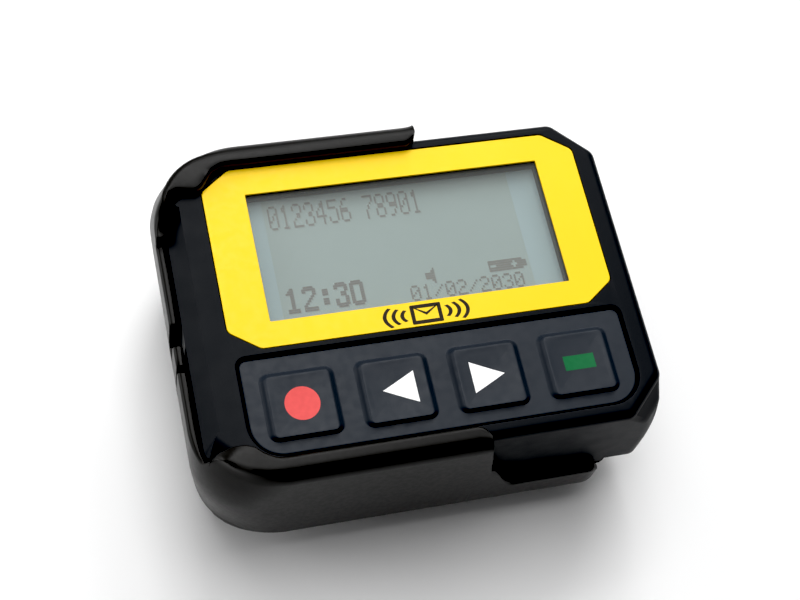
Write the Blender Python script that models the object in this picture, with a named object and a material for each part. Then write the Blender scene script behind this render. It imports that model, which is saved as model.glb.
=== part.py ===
"""Alphanumeric pager in a slide-in belt holster, lying on its back.

The design is drawn in millimetres around the centre of the pager's face: +X right, +Y up the
face, +Z out of the face, z = 0 on the face. place() turns a point into metres in the part's own
frame, whose origin is the bottom centre of the whole object, on the surface that it lies on.
"""

from math import atan2, cos, hypot, pi, radians, sin

import bmesh
import bpy
from mathutils import Vector

MM = 0.001
GAP = 0.3  # clearance between pieces that rest on each other
FLAT_ANGLE = radians(0.3)  # faces bent more than this are split into flat ones

# Pager case
CASE_W, CASE_H, CASE_D = 72.2, 53.4, 22.0
CASE_RIGHT_CHAMFER = (6.2, 6.2)  # along x, along y
CASE_LEFT_CHAMFER = (8.6, 10.0)
CASE_EDGE_R = 1.5
BEVEL_IN, BEVEL_DOWN = 2.5, 2.6  # flat bevel along the left edge of the face
CASE_WALL = 2.0
PARTING_Z = -18.6
REAR_TOP_Z = PARTING_Z - GAP
REAR_FLOOR_Z = -CASE_D + 1.8
FRONT_WALL_Z = -2.9  # underside of the front wall

# Display
LABEL_W, LABEL_H = 62.0, 31.3
LABEL_X, LABEL_Y = 1.27, 8.91
LABEL_CHAMFER = (4.7, 3.4)
LABEL_TOP_Z, LABEL_BOTTOM_Z = -0.06, -0.36
WINDOW_W, WINDOW_H = 48.5, 22.4
WINDOW_Y = 8.67
LENS_W, LENS_H = 52.6, 26.0
LENS_TOP_Z, LENS_BOTTOM_Z = LABEL_BOTTOM_Z - GAP, -1.7
GLASS_W, GLASS_H = 50.6, 27.6
GLASS_TOP_Z, GLASS_BOTTOM_Z = -3.2, -4.7

# Keypad
PAD_X, PAD_Y = 1.49, -16.04
PAD_W, PAD_H = 61.8, 16.45
PAD_TOP_R, PAD_BOTTOM_R = 1.2, 5.0
PAD_TOP_Z, PAD_BOTTOM_Z = -0.6, -1.8
PAD_SLIT = 0.35
KEY_Y = -16.6
KEY_PITCH = 14.64
KEY_SIZE, KEY_TOP_SIZE = 10.7, 9.5
KEY_TOP_Z, KEY_BOTTOM_Z = 0.45, -1.25
KEY_TRAVEL = 0.8
KEY_NAMES = ("key_cancel", "key_left", "key_right", "key_ok")
DOME_TOP_Z = -6.0
PLUNGER_R, PLUNGER_END_Z = 2.2, DOME_TOP_Z + KEY_TRAVEL + 0.2

# Board and what is on it
BOARD_W, BOARD_H = 64.0, 46.0
BOARD_TOP_Z, BOARD_BOTTOM_Z = -6.8, -7.8
ON_BOARD_Z = BOARD_BOTTOM_Z - GAP
BOSS_R, BOSS_BORE_R = 2.5, 1.45
CASE_SCREWS = ((-29.2, 19.0), (31.0, 20.4), (-29.2, -19.0), (31.0, -6.5))
BOARD_SCREWS = ((-13.4, -9.6), (15.9, -9.6))

# Battery: one AAA cell
CELL_R, CELL_LENGTH = 5.25, 44.5
CELL_LEFT_X, CELL_Y, CELL_Z = -18.5, -17.2, -14.2
DOOR_LEFT_X, DOOR_TOP_Y = -24.0, -11.5

# Holster
HOLSTER_CLEAR = 0.35
HOLSTER_WALL = 1.75
PLATE_TOP_Z, PLATE_BOTTOM_Z = -22.4, -24.5
LIP_UNDER_Z, LIP_TOP_Z = 0.3, 1.9
LIP_REACH, HOOD_REACH = 2.25, 3.0
LEFT_WALL_Z, OPENING_Z, NOTCH_Z = -3.0, -8.0, -11.0  # tops of the wall round the left end
FLANGE_Z = -17.8
PLATE_RIGHT_X = 28.2
RAIL_END_X = 6.2
HOOD_END_Y = 21.2

# Belt clip
CLIP_DEPTH = 6.3
CLIP_BACK_Z = PLATE_BOTTOM_Z - CLIP_DEPTH
CLIP_BLADE_T = 1.6
CLIP_X = -1.0
CLIP_W = 24.0
PIN_R = 0.8
PIN_Y, PIN_Z = 15.0, PLATE_BOTTOM_Z - 2.85

# The case isn't centred in the holster: the origin is the middle of the whole object's box
ORIGIN_X = (CASE_W / 2 - (CASE_W / 2 + HOLSTER_CLEAR + HOLSTER_WALL)) / 2
ORIGIN_Z = CLIP_BACK_Z


def place(x, y, z):
    """A design point in millimetres, in metres from the part's origin."""
    return Vector(((x - ORIGIN_X) * MM, y * MM, (z - ORIGIN_Z) * MM))


def material(name, colour, roughness, metallic=0.0):
    found = bpy.data.materials.get(name)
    if found:
        return found
    made = bpy.data.materials.new(name)
    made.use_nodes = True
    shader = made.node_tree.nodes["Principled BSDF"]
    shader.inputs["Base Color"].default_value = (*colour, 1.0)
    shader.inputs["Roughness"].default_value = roughness
    shader.inputs["Metallic"].default_value = metallic
    return made


HOLSTER_BLACK = ("holster_black", (0.022, 0.021, 0.020), 0.38)
CASE_BLACK = ("case_black", (0.014, 0.016, 0.020), 0.45)
LABEL_YELLOW = ("label_yellow", (0.95, 0.75, 0.03), 0.4)
LENS_CLEAR = ("lens_clear", (0.80, 0.85, 0.83), 0.05)
GLASS_GREY = ("display_grey", (0.36, 0.42, 0.39), 0.3)
PAD_GREY = ("keypad_grey", (0.035, 0.045, 0.060), 0.6)
BOARD_GREEN = ("board_green", (0.02, 0.16, 0.07), 0.5)
STEEL = ("steel", (0.62, 0.62, 0.63), 0.3, 1.0)
BRASS = ("brass", (0.75, 0.55, 0.25), 0.35, 1.0)
WHITE = ("white_plastic", (0.8, 0.8, 0.78), 0.5)
BLACK_PART = ("black_part", (0.02, 0.02, 0.02), 0.5)
RUBBER = ("grey_rubber", (0.25, 0.25, 0.26), 0.8)
CELL = ("cell_sleeve", (0.08, 0.10, 0.13), 0.3)


# Outlines: lists of (x, y), counter-clockwise


def rounded(corners):
    """An outline with each corner (x, y, radius, steps) replaced by an arc."""
    points = []
    count = len(corners)
    for i, (x, y, radius, steps) in enumerate(corners):
        corner = Vector((x, y))
        before = (Vector(corners[i - 1][:2]) - corner).normalized()
        after = (Vector(corners[(i + 1) % count][:2]) - corner).normalized()
        if steps == 0 or radius == 0:
            points.append((x, y))
            continue
        half = before.angle(after) / 2
        reach = radius / abs(sin(half)) * cos(half)
        start = corner + before * reach
        end = corner + after * reach
        centre = corner + (before + after).normalized() * radius / sin(half)
        first = atan2(start.y - centre.y, start.x - centre.x)
        turn = atan2(end.y - centre.y, end.x - centre.x) - first
        turn = (turn + pi) % (2 * pi) - pi
        for step in range(steps + 1):
            angle = first + turn * step / steps
            points.append((centre.x + radius * cos(angle), centre.y + radius * sin(angle)))
    return points


def box_outline(x, y, width, height, radius=0.0, steps=0):
    a, b = width / 2, height / 2
    signs = ((-1, -1), (1, -1), (1, 1), (-1, 1))
    return rounded([(x + a * i, y + b * j, radius, steps) for i, j in signs])


def circle(x, y, radius, steps=20):
    return [
        (x + radius * cos(2 * pi * i / steps), y + radius * sin(2 * pi * i / steps))
        for i in range(steps)
    ]


def chamfered(x, y, width, height, left, right, radius, steps):
    """A rectangle with cut corners: left and right are (along x, along y)."""
    a, b = width / 2, height / 2
    corners = [
        (x - a + left[0], y - b),
        (x + a - right[0], y - b),
        (x + a, y - b + right[1]),
        (x + a, y + b - right[1]),
        (x + a - right[0], y + b),
        (x - a + left[0], y + b),
        (x - a, y + b - left[1]),
        (x - a, y - b + left[1]),
    ]
    return rounded([(px, py, radius, steps) for px, py in corners])


def normals(outline):
    """The outward normal and the mitre length at each point of an outline."""
    found = []
    count = len(outline)
    for i, (x, y) in enumerate(outline):
        before = Vector((x - outline[i - 1][0], y - outline[i - 1][1])).normalized()
        ahead = outline[(i + 1) % count]
        after = Vector((ahead[0] - x, ahead[1] - y)).normalized()
        normal = Vector((before.y + after.y, -before.x - after.x)).normalized()
        found.append((normal, 1 / max(normal.dot(Vector((after.y, -after.x))), 0.4)))
    return found


def offset(outline, distance):
    """The outline moved outwards by distance."""
    return [
        (x + n.x * mitre * distance, y + n.y * mitre * distance)
        for (x, y), (n, mitre) in zip(outline, normals(outline), strict=True)
    ]


# Solids


def finish_faces(builder):
    """Splits bent faces into flat ones and turns them all outwards."""
    sides = [face for face in builder.faces if len(face.verts) == 4]
    bmesh.ops.connect_verts_nonplanar(builder, angle_limit=FLAT_ANGLE, faces=sides)
    bmesh.ops.recalc_face_normals(builder, faces=builder.faces)
    if builder.calc_volume(signed=True) < 0:
        bmesh.ops.reverse_faces(builder, faces=builder.faces)


def solid(name, loops, look, origin=(0.0, 0.0, 0.0), hidden=False):
    """A solid through loops of (x, y, z), capped at both ends."""
    mesh = bpy.data.meshes.new(name)
    builder = bmesh.new()
    base = place(*origin)
    rings = [[builder.verts.new(place(*p) - base) for p in loop] for loop in loops]
    for lower, upper in zip(rings, rings[1:], strict=False):
        for i in range(len(lower)):
            j = (i + 1) % len(lower)
            builder.faces.new((lower[i], lower[j], upper[j], upper[i]))
    builder.faces.new(list(reversed(rings[0])))
    builder.faces.new(rings[-1])
    finish_faces(builder)
    builder.to_mesh(mesh)
    builder.free()
    made = bpy.data.objects.new(name, mesh)
    bpy.context.scene.collection.objects.link(made)
    made.location = base
    mesh.materials.append(material(*look))
    mesh.shade_smooth()
    mesh.set_sharp_from_angle(angle=radians(32))
    if hidden:
        made.hide_render = True
        made.display_type = "WIRE"
    return made


def prism(name, outline, low, high, look=BLACK_PART, **options):
    """An outline extruded from z = low to z = high."""
    return solid(name, [[(x, y, z) for x, y in outline] for z in (low, high)], look, **options)


def eased(name, outline, low, high, look, low_r=0.0, high_r=0.0, steps=2, **options):
    """A prism whose lower and upper edges are rounded."""
    loops = []
    if low_r:
        for i in range(steps):
            angle = pi / 2 * i / steps
            inset = low_r * (1 - sin(angle))
            loops.append((inset, low + low_r * (1 - cos(angle))))
    loops.append((0.0, low + low_r))
    loops.append((0.0, high - high_r))
    if high_r:
        for i in range(1, steps + 1):
            angle = pi / 2 * i / steps
            loops.append((high_r * (1 - cos(angle)), high - high_r + high_r * sin(angle)))
    stack = [[(x, y, z) for x, y in offset(outline, -inset)] for inset, z in loops]
    return solid(name, stack, look, **options)


def turned(name, axis_point, direction, profile, look, sides=20, **options):
    """A solid of revolution: profile is (distance along the axis, radius), from one end to the other."""
    along = Vector(direction).normalized()
    side = along.orthogonal().normalized()
    other = along.cross(side)
    loops = []
    for distance, radius in profile:
        centre = Vector(axis_point) + along * distance
        loops.append(
            [
                tuple(centre + (side * cos(a) + other * sin(a)) * radius)
                for a in (2 * pi * i / sides for i in range(sides))
            ]
        )
    return solid(name, loops, look, **options)


def tube(name, path, radius, look, sides=6, **options):
    """A round wire along a list of points."""
    points = [Vector(p) for p in path]
    up = Vector((0.31, 0.47, 0.83))
    loops = []
    for i, point in enumerate(points):
        ahead = points[min(i + 1, len(points) - 1)] - points[max(i - 1, 0)]
        side = ahead.cross(up).normalized()
        other = ahead.normalized().cross(side)
        up = side.cross(ahead).normalized()
        loops.append(
            [
                tuple(point + (side * cos(a) + other * sin(a)) * radius)
                for a in (2 * pi * k / sides for k in range(sides))
            ]
        )
    return solid(name, loops, look, **options)


def boolean(target, other, operation):
    modifier = target.modifiers.new(other.name, "BOOLEAN")
    modifier.operation = operation
    modifier.solver = "EXACT"
    modifier.object = other


def cut(target, *cutters):
    for cutter in cutters:
        boolean(target, cutter, "DIFFERENCE")


def join(target, *pieces):
    for piece in pieces:
        boolean(target, piece, "UNION")


# Shared outlines


def case_outline(inset=0.0):
    """The case's outer outline, moved in by inset."""
    outline = chamfered(0, 0, CASE_W, CASE_H, CASE_LEFT_CHAMFER, CASE_RIGHT_CHAMFER, 2.2, 3)
    return offset(outline, -inset)


def pad_outline(inset=0.0):
    """The keypad's outline: small radii above, large radii below."""
    a, b = PAD_W / 2 - inset, PAD_H / 2 - inset
    top, bottom = PAD_TOP_R - inset / 2, PAD_BOTTOM_R - inset
    corners = [
        (PAD_X - a, PAD_Y - b, bottom, 5),
        (PAD_X + a, PAD_Y - b, bottom, 5),
        (PAD_X + a, PAD_Y + b, top, 2),
        (PAD_X - a, PAD_Y + b, top, 2),
    ]
    return rounded(corners)


def key_x(index):
    """The centre of a key, counted from the left."""
    return LABEL_X + (index - 1.5) * KEY_PITCH


def door_outline(inset=0.0):
    """The battery door: the lower right part of the case's outline, seen from the front."""
    right, bottom = CASE_W / 2, -CASE_H / 2
    corners = [
        (DOOR_LEFT_X + inset, bottom - 1 + inset, 0, 0),
        (right + 1 - inset, bottom - 1 + inset, 0, 0),
        (right + 1 - inset, DOOR_TOP_Y - inset, 0, 0),
        (DOOR_LEFT_X + inset, DOOR_TOP_Y - inset, 0, 0),
    ]
    return rounded(corners)


# Pager case


def front_housing():
    """Deep front shell: rounded edges, with a flat bevel along the left edge only."""
    outline = case_outline()
    steps = 4
    loops = [[(x, y, PARTING_Z) for x, y in outline]]
    for step in range(steps + 1):
        part = step / steps
        angle = pi / 2 * part
        round_in = CASE_EDGE_R * (1 - cos(angle))
        round_z = -CASE_EDGE_R * (1 - sin(angle))
        bevel_in, bevel_z = BEVEL_IN * part, -BEVEL_DOWN * (1 - part)
        loop = []
        for (x, y), (normal, mitre) in zip(outline, normals(outline), strict=True):
            share = min(max((-normal.x - 0.55) / 0.4, 0.0), 1.0)
            inset = round_in + (bevel_in - round_in) * share
            z = round_z + (bevel_z - round_z) * share
            loop.append((x - normal.x * mitre * inset, y - normal.y * mitre * inset, z))
        loops.append(loop)
    shell = solid("front_housing", loops, CASE_BLACK)
    cavity = prism("cut_front_cavity", case_outline(CASE_WALL), PARTING_Z - 1, FRONT_WALL_Z, hidden=True)
    label = chamfered(
        LABEL_X, LABEL_Y, LABEL_W + 0.5, LABEL_H + 0.5, LABEL_CHAMFER, LABEL_CHAMFER, 1.2, 2
    )
    pocket = prism("cut_label_pocket", label, LENS_TOP_Z, 1.0, hidden=True)
    lens = box_outline(LABEL_X, WINDOW_Y, LENS_W + 0.6, LENS_H + 0.6, 1.0, 2)
    lens_pocket = prism("cut_lens_pocket", lens, LENS_BOTTOM_Z - GAP, 0.5, hidden=True)
    opening = box_outline(LABEL_X, WINDOW_Y, WINDOW_W + 0.8, WINDOW_H + 0.8)
    window = prism("cut_window", opening, -4.0, 0.4, hidden=True)
    pad = prism("cut_keypad_pocket", pad_outline(), PAD_BOTTOM_Z - GAP, 1.1, hidden=True)
    cut(shell, cavity, pocket, lens_pocket, window, pad)
    for i, name in enumerate(KEY_NAMES):
        hole = circle(key_x(i), KEY_Y, PLUNGER_R + 0.4, 16)
        cut(shell, prism("cut_" + name, hole, -4.0, 0.3, hidden=True))
    for i, (x, y) in enumerate(CASE_SCREWS):
        post = prism(
            f"boss_{i}", circle(x, y, BOSS_R, 16), PARTING_Z, FRONT_WALL_Z + 0.5, hidden=True
        )
        join(shell, post)
        bore = prism(
            f"cut_boss_{i}", circle(x, y, BOSS_BORE_R, 12), PARTING_Z - 1, -10.5, hidden=True
        )
        cut(shell, bore)
    for i, (x, y) in enumerate(BOARD_SCREWS):
        post = prism(
            f"board_boss_{i}", circle(x, y, 1.9, 12), BOARD_TOP_Z + GAP, FRONT_WALL_Z + 0.5, hidden=True
        )
        join(shell, post)
        bore = prism(
            f"cut_board_boss_{i}", circle(x, y, 1.05, 10), -7.5, FRONT_WALL_Z - 0.4, hidden=True
        )
        cut(shell, bore)


def rear_housing():
    """Shallow rear shell with screw bosses, a battery wall and the opening for the door."""
    shell = eased("rear_housing", case_outline(), -CASE_D, REAR_TOP_Z, CASE_BLACK, low_r=1.4, steps=3)
    inside = prism("cut_rear_cavity", case_outline(CASE_WALL), REAR_FLOOR_Z, -15.0, hidden=True)
    cut(shell, inside)
    for i, (x, y) in enumerate(CASE_SCREWS):
        join(shell, prism(f"rear_boss_{i}", circle(x, y, 3.0, 16), -21.2, REAR_TOP_Z, hidden=True))
    door = prism("cut_door_opening", door_outline(), -CASE_D - 1, REAR_TOP_Z + 1, hidden=True)
    cut(shell, door)
    wall = prism("battery_wall", box_outline(0.75, -10.4, 57.5, 1.2), -21.0, -9.6, hidden=True)
    left = prism("battery_left_rib", box_outline(-25.9, -17.0, 1.0, 14.2), -21.0, -9.6, hidden=True)
    right = prism("battery_right_rib", box_outline(28.8, -16.6, 1.4, 13.4), -19.8, -9.6, hidden=True)
    join(shell, wall, left, right)
    for i, (x, y) in enumerate(CASE_SCREWS):
        shank = prism(f"cut_shank_{i}", circle(x, y, BOSS_BORE_R, 12), -23.0, -18.0, hidden=True)
        head = prism(f"cut_head_{i}", circle(x, y, 2.5, 16), -23.0, -20.4, hidden=True)
        cut(shell, shank, head)


def battery_door():
    """Sliding door: back wall, lower rim and right end rim in one piece."""
    door = eased("battery_door", case_outline(), -CASE_D, REAR_TOP_Z, CASE_BLACK, low_r=1.4, steps=3)
    keep = prism("keep_door", door_outline(GAP), -CASE_D - 1, REAR_TOP_Z + 1, hidden=True)
    boolean(door, keep, "INTERSECT")
    cavity = case_outline(CASE_WALL)
    cut(door, prism("cut_door_cavity", cavity, REAR_FLOOR_Z, REAR_TOP_Z + 1, hidden=True))
    for i in range(5):
        groove = box_outline(-8.0 + 2.4 * i, -19.0, 1.0, 9.0)
        cut(door, prism(f"cut_grip_{i}", groove, -CASE_D - 1, -CASE_D + 0.5, hidden=True))
    slot = box_outline(29.4, -26.2, 2.9, 2.6)
    cut(door, prism("cut_latch_slot", slot, -21.0, REAR_TOP_Z + 1, hidden=True))


def battery_door_latch():
    latch = box_outline(28.95, -25.75, 1.4, 1.5)
    eased("battery_door_latch", latch, -20.7, REAR_TOP_Z - 0.1, CASE_BLACK, high_r=0.2, low_r=0.2)


def front_label():
    outline = chamfered(LABEL_X, LABEL_Y, LABEL_W, LABEL_H, LABEL_CHAMFER, LABEL_CHAMFER, 1.4, 4)
    label = prism("front_label", outline, LABEL_BOTTOM_Z, LABEL_TOP_Z, LABEL_YELLOW)
    window = box_outline(LABEL_X, WINDOW_Y, WINDOW_W, WINDOW_H)
    cut(label, prism("cut_label_window", window, -2.0, 1.0, hidden=True))


def display():
    """Lens, glass, holder, light guide and the two elastomer connectors."""
    lens = box_outline(LABEL_X, WINDOW_Y, LENS_W, LENS_H, 0.7, 2)
    prism("display_lens", lens, LENS_BOTTOM_Z, LENS_TOP_Z, LENS_CLEAR)
    glass = box_outline(LABEL_X, WINDOW_Y, GLASS_W, GLASS_H)
    prism("lcd_glass", glass, GLASS_BOTTOM_Z, GLASS_TOP_Z, GLASS_GREY)
    frame_w, frame_h = GLASS_W + 3.0, GLASS_H + 3.0
    holder = prism(
        "lcd_holder", box_outline(LABEL_X, WINDOW_Y, frame_w, frame_h, 1.0, 2), -6.5, GLASS_TOP_Z, WHITE
    )
    inner = box_outline(LABEL_X, WINDOW_Y, GLASS_W + 0.6, GLASS_H + 0.6)
    cut(holder, prism("cut_holder_glass", inner, -7.0, -1.0, hidden=True))
    guide = box_outline(LABEL_X, WINDOW_Y, GLASS_W - 1.0, GLASS_H - 5.6)
    prism("backlight_guide", guide, -6.3, GLASS_BOTTOM_Z - GAP, WHITE)
    for name, side in (("lcd_connector_upper", 1), ("lcd_connector_lower", -1)):
        strip = box_outline(LABEL_X, WINDOW_Y + side * (GLASS_H / 2 - 1.3), GLASS_W - 4.0, 1.8)
        prism(name, strip, -6.5, GLASS_BOTTOM_Z - GAP, RUBBER)


def keypad():
    """Silicone sheet with a hole round each key, and the keys with their plungers."""
    sheet = prism("keypad_sheet", pad_outline(PAD_SLIT), PAD_BOTTOM_Z, PAD_TOP_Z, PAD_GREY)
    for i, name in enumerate(KEY_NAMES):
        x = key_x(i)
        hole = box_outline(x, KEY_Y, KEY_SIZE + 0.7, KEY_SIZE + 0.7, 1.6, 3)
        cut(sheet, prism("cut_sheet_" + name, hole, -3.0, 1.0, hidden=True))
        base = box_outline(x, KEY_Y, KEY_SIZE, KEY_SIZE, 1.4, 3)
        shoulder = (KEY_SIZE - KEY_TOP_SIZE) / 2
        levels = (
            (0.0, KEY_BOTTOM_Z),
            (0.0, PAD_TOP_Z),
            (shoulder * 0.75, KEY_TOP_Z - 0.3),
            (shoulder, KEY_TOP_Z - 0.1),
            (shoulder + 0.35, KEY_TOP_Z),
        )
        cap = [[(px, py, z) for px, py in offset(base, -inset)] for inset, z in levels]
        key = solid(name, cap, PAD_GREY)
        stem = prism("stem_" + name, circle(x, KEY_Y, PLUNGER_R, 14), PLUNGER_END_Z, -0.9, hidden=True)
        join(key, stem)


def board():
    """Main board with notches for the case's bosses, and what is soldered to it."""
    outline = chamfered(0, 0, BOARD_W, BOARD_H, (5.0, 5.8), (2.5, 2.5), 0, 0)
    plate = prism("main_board", outline, BOARD_BOTTOM_Z, BOARD_TOP_Z, BOARD_GREEN)
    for i, (x, y) in enumerate(CASE_SCREWS):
        outward = 8.0 if x > 0 else -8.0
        notch = box_outline(x + outward / 2, y, 2 * (BOSS_R + 0.4) + 8.0, 2 * (BOSS_R + 0.4))
        cut(plate, prism(f"cut_notch_{i}", notch, -9.0, -5.0, hidden=True))
    for i, (x, y) in enumerate(BOARD_SCREWS):
        cut(plate, prism(f"cut_board_hole_{i}", circle(x, y, 1.2, 10), -9.0, -5.0, hidden=True))
        head = ((-9.3, 1.0), (-9.3, 1.6), (-8.3, 1.7), (-8.1, 1.7))
        thread = ((-8.1, 0.75), (-4.4, 0.75), (-4.0, 0.4))
        turned(f"board_screw_{i + 1}", (x, y, 0), (0, 0, 1), head + thread, STEEL, sides=12)
    for i in range(len(KEY_NAMES)):
        dome = ((-6.5, 3.0), (-6.35, 3.0), (-6.1, 2.3), (DOME_TOP_Z, 1.0))
        turned(f"dome_switch_{i + 1}", (key_x(i), KEY_Y, 0), (0, 0, 1), dome, STEEL, sides=16)
    shield = box_outline(-2.0, 9.5, 24.0, 16.0, 0.8, 2)
    eased("radio_shield", shield, ON_BOARD_Z - 3.0, ON_BOARD_Z, STEEL, low_r=0.5)
    prism("processor", box_outline(4.0, -4.2, 9.0, 7.0), ON_BOARD_Z - 1.2, ON_BOARD_Z, BLACK_PART)
    crystal = box_outline(-8.0, -4.2, 8.0, 3.4, 1.6, 4)
    eased("crystal", crystal, ON_BOARD_Z - 2.2, ON_BOARD_Z, STEEL, low_r=0.4)


def loop_antenna():
    """Flat strip bent into a rectangular arch that stands on the board."""
    half, low, strip = 22.0, -17.0, 0.6
    y0, y1 = 20.6, 22.6
    outer = [(-half, ON_BOARD_Z), (-half, low), (half, low), (half, ON_BOARD_Z)]
    inner = [(half - strip, ON_BOARD_Z), (half - strip, low + strip), (-half + strip, low + strip)]
    inner.append((-half + strip, ON_BOARD_Z))
    loops = [[(x, y, z) for x, z in outer + inner] for y in (y0, y1)]
    solid("loop_antenna", loops, BRASS)


def alerts():
    """Vibration motor with its clip and weight, and the buzzer."""
    y, z = 8.5, -14.4
    can = ((15.0, 2.6), (15.3, 3.0), (24.7, 3.0), (25.0, 2.6), (25.0, 0.5), (30.6, 0.5))
    turned("vibration_motor", (0, y, z), (1, 0, 0), can, STEEL, sides=20)
    near, far, radius, hub_r = 26.4, 30.0, 2.9, 1.3
    outline = []
    for i in range(13):
        a = radians(-100 + 200 * i / 12)
        outline.append((y + radius * sin(a), z - radius * cos(a)))
    for i in range(9):
        a = radians(100 + 160 * i / 8)
        outline.append((y + hub_r * sin(a), z - hub_r * cos(a)))
    loops = [[(x, py, pz) for py, pz in outline] for x in (near, far)]
    weight = solid("vibration_weight", loops, BRASS, origin=((near + far) / 2, y, z))
    bore = ((near - 1.0, 0.7), (far + 1.0, 0.7))
    cut(weight, turned("cut_weight", (0, y, z), (1, 0, 0), bore, BRASS, sides=12, hidden=True))
    wall, high, low = 0.5, ON_BOARD_Z, z - 2.0
    clip_y = 3.35
    outer = [(y - clip_y - wall, high), (y - clip_y - wall, low), (y - clip_y, low)]
    outer.append((y - clip_y, high - wall))
    inner = [(y + clip_y, high - wall), (y + clip_y, low), (y + clip_y + wall, low)]
    inner.append((y + clip_y + wall, high))
    solid("motor_clip", [[(x, py, pz) for py, pz in outer + inner] for x in (17.0, 23.0)], STEEL)
    disc = ((-11.6, 5.4), (-11.2, 5.8), (ON_BOARD_Z, 5.8))
    turned("buzzer", (-23.0, 7.0, 0), (0, 0, 1), disc, BLACK_PART, sides=20)


def battery():
    """AAA cell lying along X, with its sprung contact on the left and its plate on the right."""
    start, end = CELL_LEFT_X, CELL_LEFT_X + CELL_LENGTH
    profile = (
        (start, 4.3),
        (start + 0.3, 4.9),
        (start + 0.6, CELL_R),
        (end - 1.6, CELL_R),
        (end - 1.1, 4.8),
        (end - 1.0, 1.9),
        (end - 0.2, 1.9),
        (end, 1.6),
    )
    turned("battery_aaa", (0, CELL_Y, CELL_Z), (1, 0, 0), profile, CELL, sides=24)
    turns, steps = 3.0, 12
    path = []
    for i in range(int(turns * steps) + 1):
        part = i / (turns * steps)
        angle = 2 * pi * turns * part
        reach = 3.6 - 1.6 * part
        x = -24.9 + 5.6 * part
        path.append((x, CELL_Y + reach * cos(angle), CELL_Z + reach * sin(angle)))
    tube("battery_spring", path, 0.3, STEEL)
    plate = box_outline(CELL_Y, CELL_Z, 8.0, 8.0)
    solid("battery_plate", [[(x, y, z) for y, z in plate] for x in (26.7, 27.2)], STEEL)


def case_screws():
    profile = (
        (-21.8, 1.4),
        (-21.8, 2.0),
        (-21.5, 2.15),
        (-20.7, 2.15),
        (-20.7, 1.1),
        (-12.4, 1.1),
        (-11.8, 0.6),
    )
    for i, (x, y) in enumerate(CASE_SCREWS):
        turned(f"case_screw_{i + 1}", (x, y, 0), (0, 0, 1), profile, STEEL, sides=14)


# Holster


# Stations down the straight part of the left end: (y, top of the wall there)
LEFT_END = (
    (15.0, OPENING_Z),
    (14.2, OPENING_Z),
    (14.0, LEFT_WALL_Z),
    (7.0, LEFT_WALL_Z),
    (0.6, LEFT_WALL_Z),
    (0.4, NOTCH_Z),
    (-2.9, NOTCH_Z),
    (-3.1, LEFT_WALL_Z),
    (-6.6, LEFT_WALL_Z),
    (-6.75, NOTCH_Z),
    (-7.3, NOTCH_Z),
    (-7.45, LEFT_WALL_Z),
    (-12.0, LEFT_WALL_Z),
    (-15.0, LEFT_WALL_Z),
)


def holster_path():
    """Stations along the inside of the wall: (x, y, outward normal), from the right end of the top
    side, round the left end, to the right end of the bottom side."""
    top = CASE_H / 2 + HOLSTER_CLEAR
    left = -CASE_W / 2 - HOLSTER_CLEAR
    cut_x, cut_y = 8.47, 10.08
    radius, steps = 4.0, 5
    right = [PLATE_RIGHT_X - d for d in (0.0, 0.25, 0.9, 2.0, 7.2, 12.2)]
    rise = [14.0, 12.0, 10.5, 9.5, 8.8, 8.2, 7.6, 7.0, RAIL_END_X + 0.2]
    tip = [RAIL_END_X - d for d in (0.0, 0.15, 0.5, 1.1, 2.0)]
    along = right + rise + tip + [-5.0, -14.0]
    upper = rounded([(0, top, 0, 0), (left + cut_x, top, radius, steps), (left, top - cut_y, 0, 0)])[1:-1]
    lower = rounded([(left + cut_x, top, 0, 0), (left, top - cut_y, radius, steps), (left, 0, 0, 0)])[1:-1]
    ends = [HOOD_END_Y + d for d in (3.4, 2.0, 1.5, 1.0, 0.6, 0.3, 0.1, 0.0, -0.3, -0.8, -1.4, -2.0)]
    slope = [(left + cut_x * (y - top + cut_y) / cut_y, y) for y in ends]
    half = [(x, top) for x in along] + upper + slope + lower
    points = half + [(left, y) for y, _ in LEFT_END] + [(x, -y) for x, y in reversed(half)]
    stations = []
    for i, (x, y) in enumerate(points):
        x0, y0 = points[max(i - 1, 0)]
        x1, y1 = points[min(i + 1, len(points) - 1)]
        length = hypot(x1 - x0, y1 - y0)
        stations.append((x, y, Vector(((y1 - y0) / length, (x0 - x1) / length))))
    return stations


def smooth(value, low, high):
    part = min(max((value - low) / (high - low), 0.0), 1.0)
    return part * part * (3 - 2 * part)


def wall_top(x, y):
    """How high the wall stands at a station, and how far (0 to 1) its lip reaches over the face."""
    if abs(y) < LEFT_END[0][0] + 0.01:
        return dict(LEFT_END)[y], 0.0
    if abs(y) < HOOD_END_Y - 0.01:
        foot = OPENING_Z if y > 0 else LEFT_WALL_Z
        return foot + (LIP_UNDER_Z - foot) * smooth(abs(y), HOOD_END_Y - 1.7, HOOD_END_Y), 0.0
    if x > RAIL_END_X:
        drop = smooth(x, RAIL_END_X, 8.2) * 0.55 + smooth(x, 8.0, 15.0) * 0.45
        height = LIP_UNDER_Z + (FLANGE_Z - LIP_UNDER_Z) * drop
        end = max(x - (PLATE_RIGHT_X - 2.0), 0.0) / 2.0
        return height - 1.2 * end * end, 0.0
    part = min(RAIL_END_X - x, abs(y) - HOOD_END_Y, 2.0) / 2.0
    return LIP_TOP_Z, max((1 - (1 - part) ** 2) ** 0.5, 0.12)


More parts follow.
